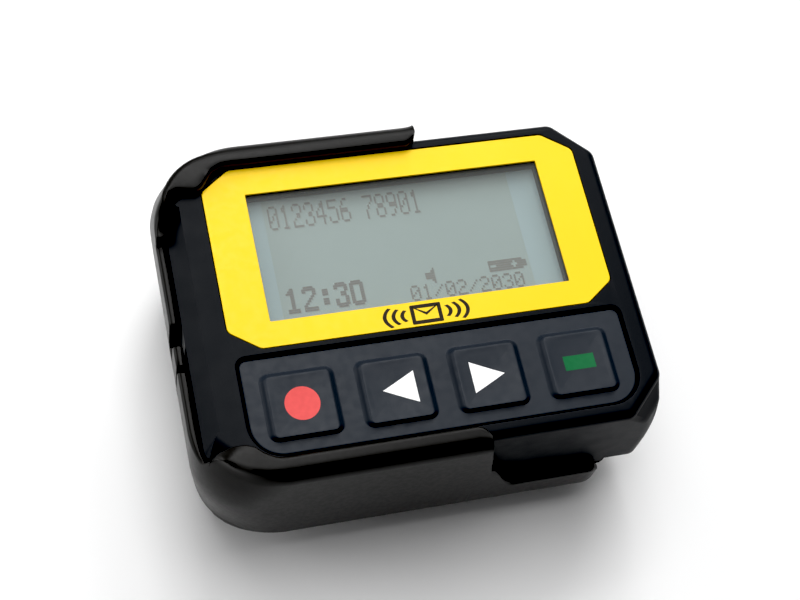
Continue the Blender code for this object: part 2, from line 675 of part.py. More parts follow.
def holster_section(x, y, normal):
    """The wall's section at a station, as (distance outwards, z), from the floor round to its back."""
    height, lip = wall_top(x, y)
    inward = 3.0
    thick = HOLSTER_WALL
    if x > PLATE_RIGHT_X - 2.0:
        thick -= 0.7 * ((x - PLATE_RIGHT_X + 2.0) / 2.0) ** 2
    left = max(-normal.x, 0.0)
    reach = (LIP_REACH + (HOOD_REACH - LIP_REACH) * smooth(left, 0.2, 0.7)) * lip
    foot = [(-inward, PLATE_TOP_Z), (-0.9, PLATE_TOP_Z)]
    foot += [(-0.26, PLATE_TOP_Z + 0.26), (0.0, PLATE_TOP_Z + 0.9)]
    if lip:
        low, tip_r, r = LIP_UNDER_Z, 0.45, 0.9
        crown = [(0.0, -11.0), (0.0, low), (-0.5 * reach, low)]
        crown += [(-reach + tip_r * lip, low), (-reach + 0.1 * lip, low + 0.15), (-reach, low + 0.45)]
        for step in range(1, 5):
            a = pi / 2 * step / 4
            crown.append((-reach + r * lip * (1 - cos(a)), height - r + r * sin(a)))
        edge_r = 1.6
    else:
        r = 0.6
        middle = (PLATE_TOP_Z + 0.9 + height - r) / 2
        crown = [(0.0, middle), (0.0, height - 1.6 * r), (0.0, height - 1.4 * r), (0.0, height - 1.2 * r)]
        crown += [(0.0, height - 1.1 * r), (0.0, height - r)]
        for step in range(1, 5):
            a = pi / 2 * step / 4
            crown.append((r * (1 - cos(a)), height - r + r * sin(a)))
        edge_r = 0.7
    for step in range(1, 5):
        a = pi / 2 * step / 4
        crown.append((thick - edge_r + edge_r * sin(a), height - edge_r + edge_r * cos(a)))
    taper = 1.0 * left
    bottom_r = 1.5 + 1.3 * left
    base = PLATE_BOTTOM_Z
    heel = [(thick - taper * 0.4, -11.0 if height > -10 else (height + base) / 2)]
    heel.append((thick - taper, base + bottom_r))
    for step in range(1, 4):
        a = pi / 2 * step / 3
        heel.append((thick - taper - bottom_r * (1 - cos(a)), base + bottom_r * (1 - sin(a))))
    return foot + crown + heel + [(-inward, base)]


def holster_shell():
    """Wall swept round the left end, closed by a floor and by its flat right end."""
    mesh = bpy.data.meshes.new("holster_shell")
    builder = bmesh.new()
    rings = []
    for x, y, normal in holster_path():
        section = holster_section(x, y, normal)
        ring = [builder.verts.new(place(x + normal.x * s, y + normal.y * s, z)) for s, z in section]
        rings.append(ring)
    for ring, following in zip(rings, rings[1:], strict=False):
        for i in range(len(ring) - 1):
            builder.faces.new((ring[i], ring[i + 1], following[i + 1], following[i]))
    builder.faces.new([ring[0] for ring in rings])
    builder.faces.new([ring[-1] for ring in rings])
    builder.faces.new(list(rings[0]) + list(reversed(rings[-1])))
    finish_faces(builder)
    builder.to_mesh(mesh)
    builder.free()
    shell = bpy.data.objects.new("holster_shell", mesh)
    bpy.context.scene.collection.objects.link(shell)
    mesh.materials.append(material(*HOLSTER_BLACK))
    mesh.shade_smooth()
    mesh.set_sharp_from_angle(angle=radians(32))


# Belt clip


def clip_bracket():
    """Base plate under the holster with two ears that carry the pin."""
    top = PLATE_BOTTOM_Z - GAP
    outline = box_outline(CLIP_X, PIN_Y, 17.0, 11.0, 1.5, 3)
    base = eased("clip_bracket", outline, top - 1.0, top, HOLSTER_BLACK)
    for side in (-1, 1):
        centre = CLIP_X + side * 7.2
        ear = [(PIN_Y + 1.6 * cos(a), PIN_Z + 1.6 * sin(a)) for a in (pi + pi * i / 10 for i in range(11))]
        ear += [(PIN_Y + 2.2, top - 0.5), (PIN_Y - 2.2, top - 0.5)]
        loops = [[(x, py, pz) for py, pz in ear] for x in (centre - 1.0, centre + 1.0)]
        join(base, solid(f"ear_{side + 1}", loops, HOLSTER_BLACK, hidden=True))
        bore = ((centre - 2.0, PIN_R + 0.1), (centre + 2.0, PIN_R + 0.1))
        name = f"cut_ear_{side + 1}"
        cut(base, turned(name, (0, PIN_Y, PIN_Z), (1, 0, 0), bore, BLACK_PART, 16, hidden=True))
    for i, x in enumerate((CLIP_X - 3.6, CLIP_X + 3.6)):
        hole = prism(f"cut_bracket_{i}", circle(x, PIN_Y + 3.6, 0.95, 10), -30.0, -20.0, hidden=True)
        cut(base, hole)
        head = ((top - 2.1, 0.9), (top - 2.1, 1.2), (top - 1.3, 1.35), (top - 1.3, 0.6), (top + 0.1, 0.6))
        turned(f"bracket_screw_{i + 1}", (x, PIN_Y + 3.6, 0), (0, 0, 1), head, STEEL, sides=12)


def clip_hinge():
    pin = [(CLIP_X + x, PIN_R - r) for x, r in ((-9.9, 0.2), (-9.7, 0.0), (9.7, 0.0), (9.9, 0.2))]
    turned("clip_pin", (0, PIN_Y, PIN_Z), (1, 0, 0), pin, STEEL, sides=16)
    turns, steps = 4, 12
    coil_r, wire_r, half = 1.15, 0.2, 1.8
    path = [(CLIP_X - half, PIN_Y - 5.0, PIN_Z + 1.2), (CLIP_X - half, PIN_Y - 1.0, PIN_Z + coil_r)]
    for i in range(turns * steps + 1):
        angle = pi / 2 - 2 * pi * i / steps
        x = CLIP_X - half + 2 * half * i / (turns * steps)
        path.append((x, PIN_Y + coil_r * cos(angle), PIN_Z + coil_r * sin(angle)))
    path.append((CLIP_X + half, PIN_Y - 1.0, PIN_Z + coil_r - 0.05))
    path.append((CLIP_X + half, PIN_Y - 6.5, PIN_Z - 1.35))
    tube("clip_spring", path, wire_r, STEEL, sides=6)


def belt_clip():
    """Blade with a turned-in toe below, a thumb tab above and two knuckles outside the ears."""
    back, inside = CLIP_BACK_Z, CLIP_BACK_Z + CLIP_BLADE_T
    toe_y, tab_y = -25.0, 25.5
    toe_z = PLATE_BOTTOM_Z - 0.9
    profile = [
        (tab_y, inside + 0.5),
        (tab_y - 0.6, inside + 0.5),
        (PIN_Y + 4.5, inside + 0.15),
        (PIN_Y + 3.0, inside),
        (toe_y + 2.7, inside),
        (toe_y + 1.9, inside + 0.7),
        (toe_y + 1.6, toe_z - 0.6),
        (toe_y + 1.1, toe_z),
        (toe_y + 0.5, toe_z),
        (toe_y, toe_z - 0.5),
        (toe_y, back + 1.9),
        (toe_y + 0.7, back + 0.5),
        (toe_y + 2.2, back),
        (PIN_Y + 3.0, back),
        (PIN_Y + 4.5, back + 0.15),
        (tab_y - 0.6, back + 0.5),
        (tab_y, back + 0.9),
    ]
    half = CLIP_W / 2
    edge = 0.35
    loops = []
    for x, inset in ((-half, edge), (-half + edge, 0.0), (half - edge, 0.0), (half, edge)):
        loops.append([(CLIP_X + x, y, z) for y, z in offset(profile, -inset)])
    origin = (CLIP_X, PIN_Y, PIN_Z)
    clip = solid("belt_clip", loops, HOLSTER_BLACK, origin=origin)
    for side in (-1, 1):
        centre = CLIP_X + side * 9.6
        outline = [(PIN_Y + 1.8 * cos(a), PIN_Z + 1.8 * sin(a)) for a in (pi * i / 10 for i in range(11))]
        outline += [(PIN_Y - 2.4, inside - 0.6), (PIN_Y + 2.4, inside - 0.6)]
        knuckle = [[(x, py, pz) for py, pz in outline] for x in (centre - 0.9, centre + 0.9)]
        join(clip, solid(f"knuckle_{side + 1}", knuckle, HOLSTER_BLACK, hidden=True))
        bore = ((centre - 2.0, PIN_R + 0.1), (centre + 2.0, PIN_R + 0.1))
        name = f"cut_knuckle_{side + 1}"
        cut(clip, turned(name, (0, PIN_Y, PIN_Z), (1, 0, 0), bore, BLACK_PART, 16, hidden=True))


def main():
    for old in list(bpy.data.objects):
        bpy.data.objects.remove(old, do_unlink=True)
    front_housing()
    rear_housing()
    battery_door()
    battery_door_latch()
    front_label()
    display()
    keypad()
    board()
    loop_antenna()
    alerts()
    battery()
    case_screws()
    holster_shell()
    clip_bracket()
    clip_hinge()
    belt_clip()


main()
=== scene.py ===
"""Looks for the alphanumeric pager in its slide-in belt holster.

Shapes are drawn in millimetres around the centre of the pager's face, as in the CAD: +X right,
+Y up the face, +Z out of the face, z = 0 on the face. place() turns a point into metres.
"""

import re
from itertools import pairwise
from math import atan2, cos, hypot, pi, radians, sin, sqrt

import bmesh
import bpy
from mathutils import Euler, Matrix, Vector


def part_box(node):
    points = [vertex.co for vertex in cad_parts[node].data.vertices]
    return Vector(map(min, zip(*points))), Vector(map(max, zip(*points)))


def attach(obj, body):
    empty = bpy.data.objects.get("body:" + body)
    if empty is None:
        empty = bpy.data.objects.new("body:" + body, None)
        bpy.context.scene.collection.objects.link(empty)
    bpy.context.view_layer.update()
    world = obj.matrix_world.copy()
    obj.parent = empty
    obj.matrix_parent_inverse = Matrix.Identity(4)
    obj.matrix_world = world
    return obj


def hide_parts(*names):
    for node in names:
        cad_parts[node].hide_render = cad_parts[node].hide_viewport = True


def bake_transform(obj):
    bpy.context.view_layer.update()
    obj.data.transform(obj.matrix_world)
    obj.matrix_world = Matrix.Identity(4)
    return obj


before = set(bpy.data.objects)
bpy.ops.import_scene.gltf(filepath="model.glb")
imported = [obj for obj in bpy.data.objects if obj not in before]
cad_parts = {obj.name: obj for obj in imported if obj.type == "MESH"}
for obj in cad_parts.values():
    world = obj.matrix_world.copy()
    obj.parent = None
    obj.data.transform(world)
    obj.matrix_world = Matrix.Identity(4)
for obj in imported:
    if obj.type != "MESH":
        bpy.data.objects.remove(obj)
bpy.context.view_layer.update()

MM = 0.001

# The face's centre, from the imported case
case_low, case_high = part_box("front_housing")
ORIGIN = Vector(((case_low.x + case_high.x) / 2, (case_low.y + case_high.y) / 2, case_high.z))


def place(x, y, z):
    """A design point in millimetres, in metres in the part's frame."""
    return ORIGIN + Vector((x, y, z)) * MM


def design_box(node):
    """A CAD node's box in design millimetres: centre (x, y), (width, height), (low z, high z)."""
    low, high = (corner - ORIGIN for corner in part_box(node))
    centre, size = (low + high) / (2 * MM), (high - low) / MM
    return (centre.x, centre.y), (size.x, size.y), (low.z / MM, high.z / MM)


# Case
(_, (CASE_W, CASE_H), (PARTING_Z, _)) = design_box("front_housing")
# How far the left and the right corners are cut back at a height: (z, cut)
LEFT_CUTS = (
    *((0.0, 6.6), (-2.6, 5.0), (-5.0, 4.3), (-9.0, 3.9)),
    *((-13.0, 4.3), (-18.6, 5.6), (-22.0, 6.4)),
)
RIGHT_CUTS = (
    *((0.0, 6.2), (-1.5, 6.2), (-4.0, 3.5), (-6.5, 2.5)),
    *((-9.5, 1.9), (-13.0, 1.6), (-22.0, 1.5)),
)
CASE_CORNER_R, CASE_LEFT_R = 2.2, 4.9
R_PER_CUT = 1.65
# The inside's left and right cuts, along x and along y
INNER_CUTS = (8.6, 10.0), (6.2, 6.2)
CASE_EDGE_R = 1.5
BEVEL_IN, BEVEL_DOWN = 2.5, 2.6
CASE_WALL = 2.0
FRONT_WALL_Z = -2.9
(LABEL_AT, (LABEL_W, LABEL_H), (LABEL_BOTTOM_Z, LABEL_TOP_Z)) = design_box("front_label")
LABEL_CHAMFER = (4.7, 3.4)
LABEL_FLOOR_Z = LABEL_BOTTOM_Z - 0.02
(WINDOW_AT, (LENS_W, LENS_H), (LENS_BOTTOM_Z, LENS_TOP_Z)) = design_box("display_lens")
WINDOW_W, WINDOW_H = 48.5, 22.4
(_, (GLASS_W, GLASS_H), (GLASS_BOTTOM_Z, GLASS_TOP_Z)) = design_box("lcd_glass")
LENS_LEDGE_Z, THROAT_END_Z = LENS_BOTTOM_Z - 0.1, GLASS_TOP_Z + 0.05
# Screw posts: (outer radius, hole's radius, lower end)
CASE_POST, BOARD_POST = (2.5, 1.45, PARTING_Z), (1.9, 1.05, -6.5)

# Keypad
(PAD_AT, (PAD_W, PAD_H), (PAD_BOTTOM_Z, PAD_TOP_Z)) = design_box("keypad_sheet")
PAD_TOP_R, PAD_BOTTOM_R = 1.2, 5.0
PAD_FLOOR_Z = PAD_BOTTOM_Z - 0.2
PAD_SLIT = 0.35
PLUNGER_R, PLUNGER_HOLE_R = 2.2, 2.6
KEY_NAMES = ("key_cancel", "key_left", "key_right", "key_ok")
KEY_TOP_Z = 0.45

# Holster
HOLSTER_CLEAR, HOLSTER_WALL = 0.35, 1.75
(_, _, (PLATE_BOTTOM_Z, LIP_TOP_Z)) = design_box("holster_shell")
PLATE_TOP_Z = PLATE_BOTTOM_Z + 2.1
LIP_UNDER_Z = LIP_TOP_Z - 1.6
LIP_REACH = 2.25
LEFT_WALL_Z = -3.0
FLANGE_Z = -17.8
PLATE_RIGHT_X = 28.2
END_FADE = 2.0
RAIL_END_X = 6.2


# ---- outlines


def rounded(corners):
    """An outline with each corner (x, y, radius, steps) replaced by an arc."""
    points = []
    count = len(corners)
    for i, (x, y, radius, steps) in enumerate(corners):
        if steps == 0 or radius == 0:
            points.append((x, y))
            continue
        corner = Vector((x, y))
        before = (Vector(corners[i - 1][:2]) - corner).normalized()
        after = (Vector(corners[(i + 1) % count][:2]) - corner).normalized()
        half = before.angle(after) / 2
        reach = radius / abs(sin(half)) * cos(half)
        start = corner + before * reach
        end = corner + after * reach
        centre = corner + (before + after).normalized() * radius / sin(half)
        first = atan2(start.y - centre.y, start.x - centre.x)
        turn = atan2(end.y - centre.y, end.x - centre.x) - first
        turn = (turn + pi) % (2 * pi) - pi
        for step in range(steps + 1):
            angle = first + turn * step / steps
            points.append((centre.x + radius * cos(angle), centre.y + radius * sin(angle)))
    return points


def sided(x0, x1, y0, y1, radius=0.0, steps=0):
    return rounded([(x, y, radius, steps) for x, y in ((x0, y0), (x1, y0), (x1, y1), (x0, y1))])


def box_outline(x, y, width, height, radius=0.0, steps=0):
    return sided(x - width / 2, x + width / 2, y - height / 2, y + height / 2, radius, steps)


def circle(x, y, radius, steps=32):
    turn = [2 * pi * i / steps for i in range(steps)]
    return [(x + radius * cos(a), y + radius * sin(a)) for a in turn]


def chamfered(x, y, width, height, left, right, radius, steps):
    """A rectangle with cut corners: left and right are (along x, along y). Radii may differ too."""
    x0, x1, y0, y1 = x - width / 2, x + width / 2, y - height / 2, y + height / 2
    left_r, right_r = radius if isinstance(radius, tuple) else (radius, radius)
    corners = [
        *((x0 + left[0], y0), (x1 - right[0], y0), (x1, y0 + right[1]), (x1, y1 - right[1])),
        *((x1 - right[0], y1), (x0 + left[0], y1), (x0, y1 - left[1]), (x0, y0 + left[1])),
    ]
    return rounded([(px, py, left_r if px < x else right_r, steps) for px, py in corners])


def normals(outline):
    """The outward normal and the mitre length at each point of an outline."""
    found = []
    count = len(outline)
    for i, (x, y) in enumerate(outline):
        ahead = outline[(i + 1) % count]
        before = Vector((x - outline[i - 1][0], y - outline[i - 1][1])).normalized()
        after = Vector((ahead[0] - x, ahead[1] - y)).normalized()
        normal = Vector((before.y + after.y, -before.x - after.x)).normalized()
        found.append((normal, 1 / max(normal.dot(Vector((after.y, -after.x))), 0.4)))
    return found


def offset(outline, distance):
    """The outline moved outwards by distance."""
    return [
        (x + n.x * mitre * distance, y + n.y * mitre * distance)
        for (x, y), (n, mitre) in zip(outline, normals(outline), strict=True)
    ]


def along_table(table, value):
    """Linear interpolation in rows of (value, result, ...) whose values fall or rise steadily."""
    rows = sorted(table)
    if value <= rows[0][0]:
        return rows[0][1:]
    for low, high in pairwise(rows):
        if value <= high[0]:
            part = (value - low[0]) / (high[0] - low[0])
            return tuple(a + (b - a) * part for a, b in zip(low[1:], high[1:], strict=True))
    return rows[-1][1:]


def case_outline(left_z, right_z=None):
    """The case's outline at a height: its corners are cut on the face and fill out below it."""
    (left,) = along_table(LEFT_CUTS, left_z)
    (right,) = along_table(RIGHT_CUTS, left_z if right_z is None else right_z)
    left_r = min(R_PER_CUT * left, CASE_LEFT_R) * smooth(-left_z, 0.0, 5.0)
    radii = (max(CASE_CORNER_R, left_r), min(CASE_CORNER_R, R_PER_CUT * right))
    return chamfered(0, 0, CASE_W, CASE_H, (left, left), (right, right), radii, 10)


def inner_outline():
    """The inside of the case's wall."""
    return offset(chamfered(0, 0, CASE_W, CASE_H, *INNER_CUTS, CASE_CORNER_R, 10), -CASE_WALL)


def pad_outline(inset=0.0):
    """The keypad's outline: small radii above, large radii below."""
    x, y = PAD_AT
    a, b = PAD_W / 2 - inset, PAD_H / 2 - inset
    lower_r, upper_r = PAD_BOTTOM_R - inset, max(PAD_TOP_R - inset, 0.3)
    corners = [
        *((x - a, y - b, lower_r, 10), (x + a, y - b, lower_r, 10)),
        *((x + a, y + b, upper_r, 5), (x - a, y + b, upper_r, 5)),
    ]
    return rounded(corners)


def label_outline(grow=0.0):
    outline = chamfered(*LABEL_AT, LABEL_W, LABEL_H, LABEL_CHAMFER, LABEL_CHAMFER, 1.4, 8)
    return offset(outline, grow)


def smooth(value, low, high):
    """From 0 at low to 1 at high, with a soft start and end."""
    part = min(max((value - low) / (high - low), 0.0), 1.0)
    return part * part * (3 - 2 * part)


# ---- materials


class Look:
    """A procedural material, built a node at a time on one Principled shader."""

    def __init__(self, name, colour, roughness, **values):
        self.material = bpy.data.materials.new(name)
        self.material.use_nodes = True
        self.nodes = self.material.node_tree.nodes
        self.links = self.material.node_tree.links
        self.shader = self.nodes["Principled BSDF"]
        self.coordinates = self.nodes.new("ShaderNodeTexCoord").outputs["Object"]
        self.set("Base Color", (*colour, 1.0))
        self.set("Roughness", roughness)
        for key, value in values.items():
            self.set(key.replace("_", " ").title().replace("Ior", "IOR"), value)

    def set(self, socket, value):
        self.shader.inputs[socket].default_value = value

    def node(self, kind, inputs, **properties):
        made = self.nodes.new("ShaderNode" + kind)
        for name, value in properties.items():
            setattr(made, name, value)
        for name, value in inputs.items():
            made.inputs[name].default_value = value
        return made

    def scaled(self, scale):
        """The object's own coordinates, stretched."""
        mapping = self.node("Mapping", {"Scale": scale})
        self.links.new(self.coordinates, mapping.inputs["Vector"])
        return mapping.outputs["Vector"]

    def noise(self, scale, detail=2.0, roughness=0.5, stretch=(1.0, 1.0, 1.0)):
        inputs = {"Scale": scale, "Detail": detail, "Roughness": roughness}
        node = self.node("TexNoise", inputs)
        self.links.new(self.scaled(stretch), node.inputs["Vector"])
        return node.outputs["Fac"]

    def cells(self, scale):
        node = self.node("TexVoronoi", {"Scale": scale})
        self.links.new(self.scaled((1.0, 1.0, 1.0)), node.inputs["Vector"])
        return node.outputs["Distance"]

    def spread(self, source, low, high, start=0.35, end=0.65):
        """Goes from low to high as source goes from start to end."""
        inputs = {"From Min": start, "From Max": end, "To Min": low, "To Max": high}
        node = self.node("MapRange", inputs)
        self.links.new(source, node.inputs["Value"])
        return node.outputs["Result"]

    def colours(self, source, first, second, start=0.35, end=0.65):
        """The base colour goes from first to second as source goes from start to end."""
        inputs = {"A": (*first, 1.0), "B": (*second, 1.0)}
        node = self.node("Mix", inputs, data_type="RGBA")
        self.links.new(self.spread(source, 0.0, 1.0, start, end), node.inputs["Factor"])
        self.links.new(node.outputs["Result"], self.shader.inputs["Base Color"])

    def rough(self, source, low, high):
        self.links.new(self.spread(source, low, high), self.shader.inputs["Roughness"])

    def relief(self, source, strength, distance):
        """Bump of at most distance metres."""
        node = self.node("Bump", {"Strength": strength, "Distance": distance})
        self.links.new(source, node.inputs["Height"])
        self.links.new(node.outputs["Normal"], self.shader.inputs["Normal"])


def holster_plastic():
    look = Look("holster_plastic", (0.0050, 0.0047, 0.0042), 0.34, specular_ior_level=0.14)
    look.colours(look.noise(90.0, 3.0), (0.0046, 0.0043, 0.0038), (0.0054, 0.0051, 0.0046))
    look.rough(look.noise(1400.0, 3.0), 0.32, 0.37)
    look.relief(look.noise(3200.0, 2.0, 0.6), 0.25, 0.00002)
    return look.material


def case_plastic():
    look = Look("case_plastic", (0.0066, 0.0078, 0.0098), 0.46, specular_ior_level=0.08)
    look.colours(look.noise(70.0, 3.0), (0.0063, 0.0075, 0.0094), (0.0069, 0.0081, 0.0102))
    look.rough(look.noise(300.0, 4.0), 0.42, 0.47)
    look.relief(look.cells(3600.0), 0.2, 0.00002)
    return look.material


def label_film():
    look = Look("label_film", (0.93, 0.62, 0.009), 0.42, specular_ior_level=0.2)
    look.colours(look.noise(55.0, 2.0), (0.92, 0.61, 0.008), (0.94, 0.63, 0.010))
    look.rough(look.noise(900.0, 3.0), 0.38, 0.50)
    look.relief(look.noise(1500.0, 2.0), 0.10, 0.00002)
    return look.material


def ink(name, colour, roughness):
    look = Look(name, colour, roughness, specular_ior_level=0.12)
    paler = tuple(min(c * 1.06 + 0.002, 1.0) for c in colour)
    look.colours(look.noise(1200.0, 3.0), colour, paler)
    return look.material


def silicone(name, first, second):
    look = Look(name, first, 0.50, specular_ior_level=0.22)
    look.colours(look.noise(120.0, 3.0), first, second)
    look.rough(look.noise(700.0, 3.0), 0.45, 0.55)
    look.relief(look.noise(4200.0, 2.0), 0.22, 0.00002)
    return look.material


def lens_plastic():
    look = Look("lens_plastic", (0.86, 0.90, 0.88), 0.12, specular_ior_level=0.2)
    look.rough(look.noise(160.0, 2.0), 0.10, 0.14)
    look.set("Alpha", 0.06)
    return look.material


def display_glass(name, first, second):
    look = Look(name, first, 0.6, specular_ior_level=0.1)
    look.colours(look.noise(60.0, 2.0), first, second)
    look.relief(look.noise(5200.0, 1.0), 0.10, 0.00001)
    return look.material


def steel(name="plated_steel", colour=(0.62, 0.62, 0.63), roughness=0.28):
    look = Look(name, colour, roughness, metallic=1.0)
    look.colours(look.noise(300.0, 3.0), colour, tuple(c * 0.85 for c in colour))
    look.rough(look.noise(2600.0, 3.0, 0.6, (1.0, 0.1, 1.0)), roughness - 0.08, roughness + 0.12)
    return look.material


def circuit_board():
    look = Look("circuit_board", (0.02, 0.16, 0.07), 0.4)
    look.colours(look.cells(900.0), (0.012, 0.12, 0.05), (0.03, 0.20, 0.09), 0.15, 0.5)
    look.relief(look.cells(900.0), 0.2, 0.00004)
    return look.material


def plain(name, colour, roughness):
    """Moulded plastic or rubber with a fine grain."""
    look = Look(name, colour, roughness)
    look.colours(look.noise(150.0, 3.0), colour, tuple(c * 0.9 for c in colour))
    look.rough(look.noise(600.0, 3.0), roughness - 0.05, roughness + 0.08)
    look.relief(look.noise(2000.0, 2.0), 0.2, 0.00003)
    return look.material


def cell_wrap():
    look = Look("cell_wrap", (0.08, 0.10, 0.13), 0.25, coat_weight=0.4)
    look.colours(look.noise(100.0, 2.0), (0.07, 0.09, 0.12), (0.10, 0.12, 0.15))
    return look.material


# ---- meshes


class Builder:
    """Collects rings of points, in design millimetres, and makes one piece of them."""

    def __init__(self):
        self.mesh = bmesh.new()

    def ring(self, points):
        return [self.mesh.verts.new(place(*p)) for p in points]

    def level(self, outline, z):
        return self.ring([(x, y, z) for x, y in outline])

    def band(self, lower, upper, closed=True):
        """Faces between two rings of as many points."""
        count = len(lower)
        for i in range(count if closed else count - 1):
            j = (i + 1) % count
            self.mesh.faces.new((lower[i], lower[j], upper[j], upper[i]))

    def stack(self, rings, closed=True):
        for lower, upper in pairwise(rings):
            self.band(lower, upper, closed)

    def cap(self, ring):
        self.mesh.faces.new(ring)

    def solid(self, rings):
        """Rings stacked into a closed body."""
        self.stack(rings)
        self.cap(rings[0])
        self.cap(rings[-1])

    def flat(self, *rings):
        """Fills the flat area between an outer ring and the rings of its holes."""
        known = self.mesh.edges
        pairs = [(vert, ring[i - 1]) for ring in rings for i, vert in enumerate(ring)]
        edges = [known.get(pair) or known.new(pair) for pair in pairs]
        bmesh.ops.triangle_fill(self.mesh, use_beauty=True, edges=edges)

    def piece(self, name, body, look, replaces=(), sharp=30.0, weighted=True):
        """The finished piece, with creases where faces meet at more than sharp degrees."""
        builder = self.mesh
        bmesh.ops.recalc_face_normals(builder, faces=builder.faces)
        if builder.calc_volume(signed=True) < 0:
            bmesh.ops.reverse_faces(builder, faces=builder.faces)
        mesh = bpy.data.meshes.new(name)
        builder.to_mesh(mesh)
        builder.free()
        made = bpy.data.objects.new(name, mesh)
        bpy.context.scene.collection.objects.link(made)
        mesh.materials.append(look)
        mesh.shade_smooth()
        mesh.set_sharp_from_angle(angle=radians(sharp))
        if weighted:
            modifier = made.modifiers.new("weighted", "WEIGHTED_NORMAL")
            modifier.keep_sharp = True
        if body:
            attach(made, body)
        if replaces:
            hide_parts(*replaces)
        return made


def eased_levels(low, high, high_r, steps):
    """(inset, z) of the rings of a prism with a rounded upper edge."""
    levels = [(0.0, low), (0.0, high - high_r)]
    for i in range(1, steps + 1 if high_r else 1):
        angle = pi / 2 * i / steps
        levels.append((high_r * (1 - cos(angle)), high - high_r + high_r * sin(angle)))
    return levels


# ---- pager


def case_rings(b):
    """Rings from the parting line up over the edge to the flat of the face. The edge is a round
    one, and a wide bevel where the wall faces left."""
    depths = (PARTING_Z, -16.5, -14.5, -12.5, -10.5, -8.5, -7.0, -5.8, -4.8, -4.0, -3.3)
    rings = [b.level(case_outline(z), z) for z in depths]
    steps, start = 9, 0.12
    for step in range(steps + 1):
        part = step / steps
        outline = case_outline(-BEVEL_DOWN * (1 - part), -CASE_EDGE_R * (1 - part))
        angle = pi / 2 * part
        round_in = CASE_EDGE_R * (1 - cos(angle))
        round_z = -CASE_EDGE_R * (1 - sin(angle))
        soft = smooth(part, 0.0, start) * start + (part - start if part > start else 0.0)
        bevel_in, bevel_z = BEVEL_IN * part, -BEVEL_DOWN * (1 - soft)
        ring = []
        for (x, y), (normal, mitre) in zip(outline, normals(outline), strict=True):
            share = smooth(-normal.x, 0.55, 0.95)
            inset = round_in + (bevel_in - round_in) * share
            z = round_z + (bevel_z - round_z) * share
            ring.append((x - normal.x * mitre * inset, y - normal.y * mitre * inset, min(z, 0.0)))
        rings.append(b.ring(ring))
    return rings


def pocket(b, outline, rim_r, floor_z):
    """A pocket's rim, eased by rim_r, and its wall: returns (rim ring, floor ring)."""
    rings = []
    steps = 4
    for step in range(steps + 1):
        angle = pi / 2 * step / steps
        out, down = rim_r * (1 - sin(angle)), rim_r * (1 - cos(angle))
        rings.append(b.level(offset(outline, out), -down))
    rings.append(b.level(outline, floor_z))
    b.stack(rings)
    return rings[0], rings[-1]


def window_well(b, label_floor):
    """A ledge for the lens, then the throat down to the glass: returns its ring under the wall."""
    lens_in = box_outline(*WINDOW_AT, LENS_W + 0.2, LENS_H + 0.2, 0.8, 3)
    throat = box_outline(*WINDOW_AT, WINDOW_W + 0.3, WINDOW_H + 0.3, 0.2, 2)
    top, bottom = b.level(lens_in, LABEL_FLOOR_Z), b.level(lens_in, LENS_LEDGE_Z)
    b.band(top, bottom)
    b.flat(label_floor, top)
    throat_top, throat_bottom = b.level(throat, LENS_LEDGE_Z), b.level(throat, THROAT_END_Z)
    b.flat(bottom, throat_top)
    b.band(throat_top, throat_bottom)
    collar = offset(throat, 1.2)
    under = b.level(collar, THROAT_END_Z)
    b.band(throat_bottom, under)
    under_top = b.level(collar, FRONT_WALL_Z)
    b.band(under, under_top)
    return under_top


def plunger_holes(b, pad_floor):
    """Holes through the keypad's floor: returns their rings on the inside."""
    floor_holes, wall_holes = [], []
    for name in KEY_NAMES:
        (x, y), _, _ = design_box(name)
        hole = circle(x, y, PLUNGER_HOLE_R, 24)
        floor_holes.append(b.level(hole, PAD_FLOOR_Z))
        wall_holes.append(b.level(hole, FRONT_WALL_Z))
        b.band(floor_holes[-1], wall_holes[-1])
    b.flat(pad_floor, *floor_holes)
    return wall_holes


def front_case(look):
    b = Builder()
    rings = case_rings(b)
    b.stack(rings)
    label_rim, label_floor = pocket(b, label_outline(0.1), 0.12, LABEL_FLOOR_Z)
    pad_rim, pad_floor = pocket(b, pad_outline(-PAD_SLIT), 0.25, PAD_FLOOR_Z)
    b.flat(rings[-1], label_rim, pad_rim)
    under_top = window_well(b, label_floor)
    wall_holes = plunger_holes(b, pad_floor)
    inner = inner_outline()
    inner_top, inner_bottom = b.level(inner, FRONT_WALL_Z), b.level(inner, PARTING_Z)
    b.flat(inner_top, under_top, *wall_holes)
    b.band(inner_top, inner_bottom)
    b.band(inner_bottom, rings[0])
    b.piece("case_front", "pager", look, ["front_housing"], sharp=35.0)


def bosses(look):
    """Screw posts that hang from the front wall."""
    b = Builder()
    posts = [(f"case_screw_{i}", *CASE_POST) for i in (1, 2, 3, 4)]
    posts += [(f"board_screw_{i}", *BOARD_POST) for i in (1, 2)]
    for screw, outer, inner, low in posts:
        (x, y), _, _ = design_box(screw)
        wide, narrow = circle(x, y, outer, 24), circle(x, y, inner, 24)
        top = FRONT_WALL_Z - 0.01
        levels = ((narrow, top - 0.4), (narrow, low), (wide, low), (wide, top))
        b.solid([b.level(outline, z) for outline, z in levels])
    b.piece("case_front_bosses", "pager", look)


def label(look):
    b = Builder()
    outline = label_outline()
    window = box_outline(*WINDOW_AT, WINDOW_W, WINDOW_H, 0.15, 2)
    levels = eased_levels(LABEL_BOTTOM_Z, LABEL_TOP_Z, 0.06, 3)
    outer = [b.level(offset(outline, -i), z) for i, z in levels]
    inner = [b.level(offset(window, i), z) for i, z in levels]
    b.stack(outer)
    b.stack(inner)
    b.flat(outer[-1], inner[-1])
    b.flat(outer[0], inner[0])
    b.piece("label", "pager", look, ["front_label"], sharp=60.0)


def flat_piece(name, outline, low, high, look, replaces=()):
    """A thin prism on the pager."""
    b = Builder()
    b.solid([b.level(outline, z) for z in (low, high)])
    b.piece(name, "pager", look, replaces, sharp=50.0)


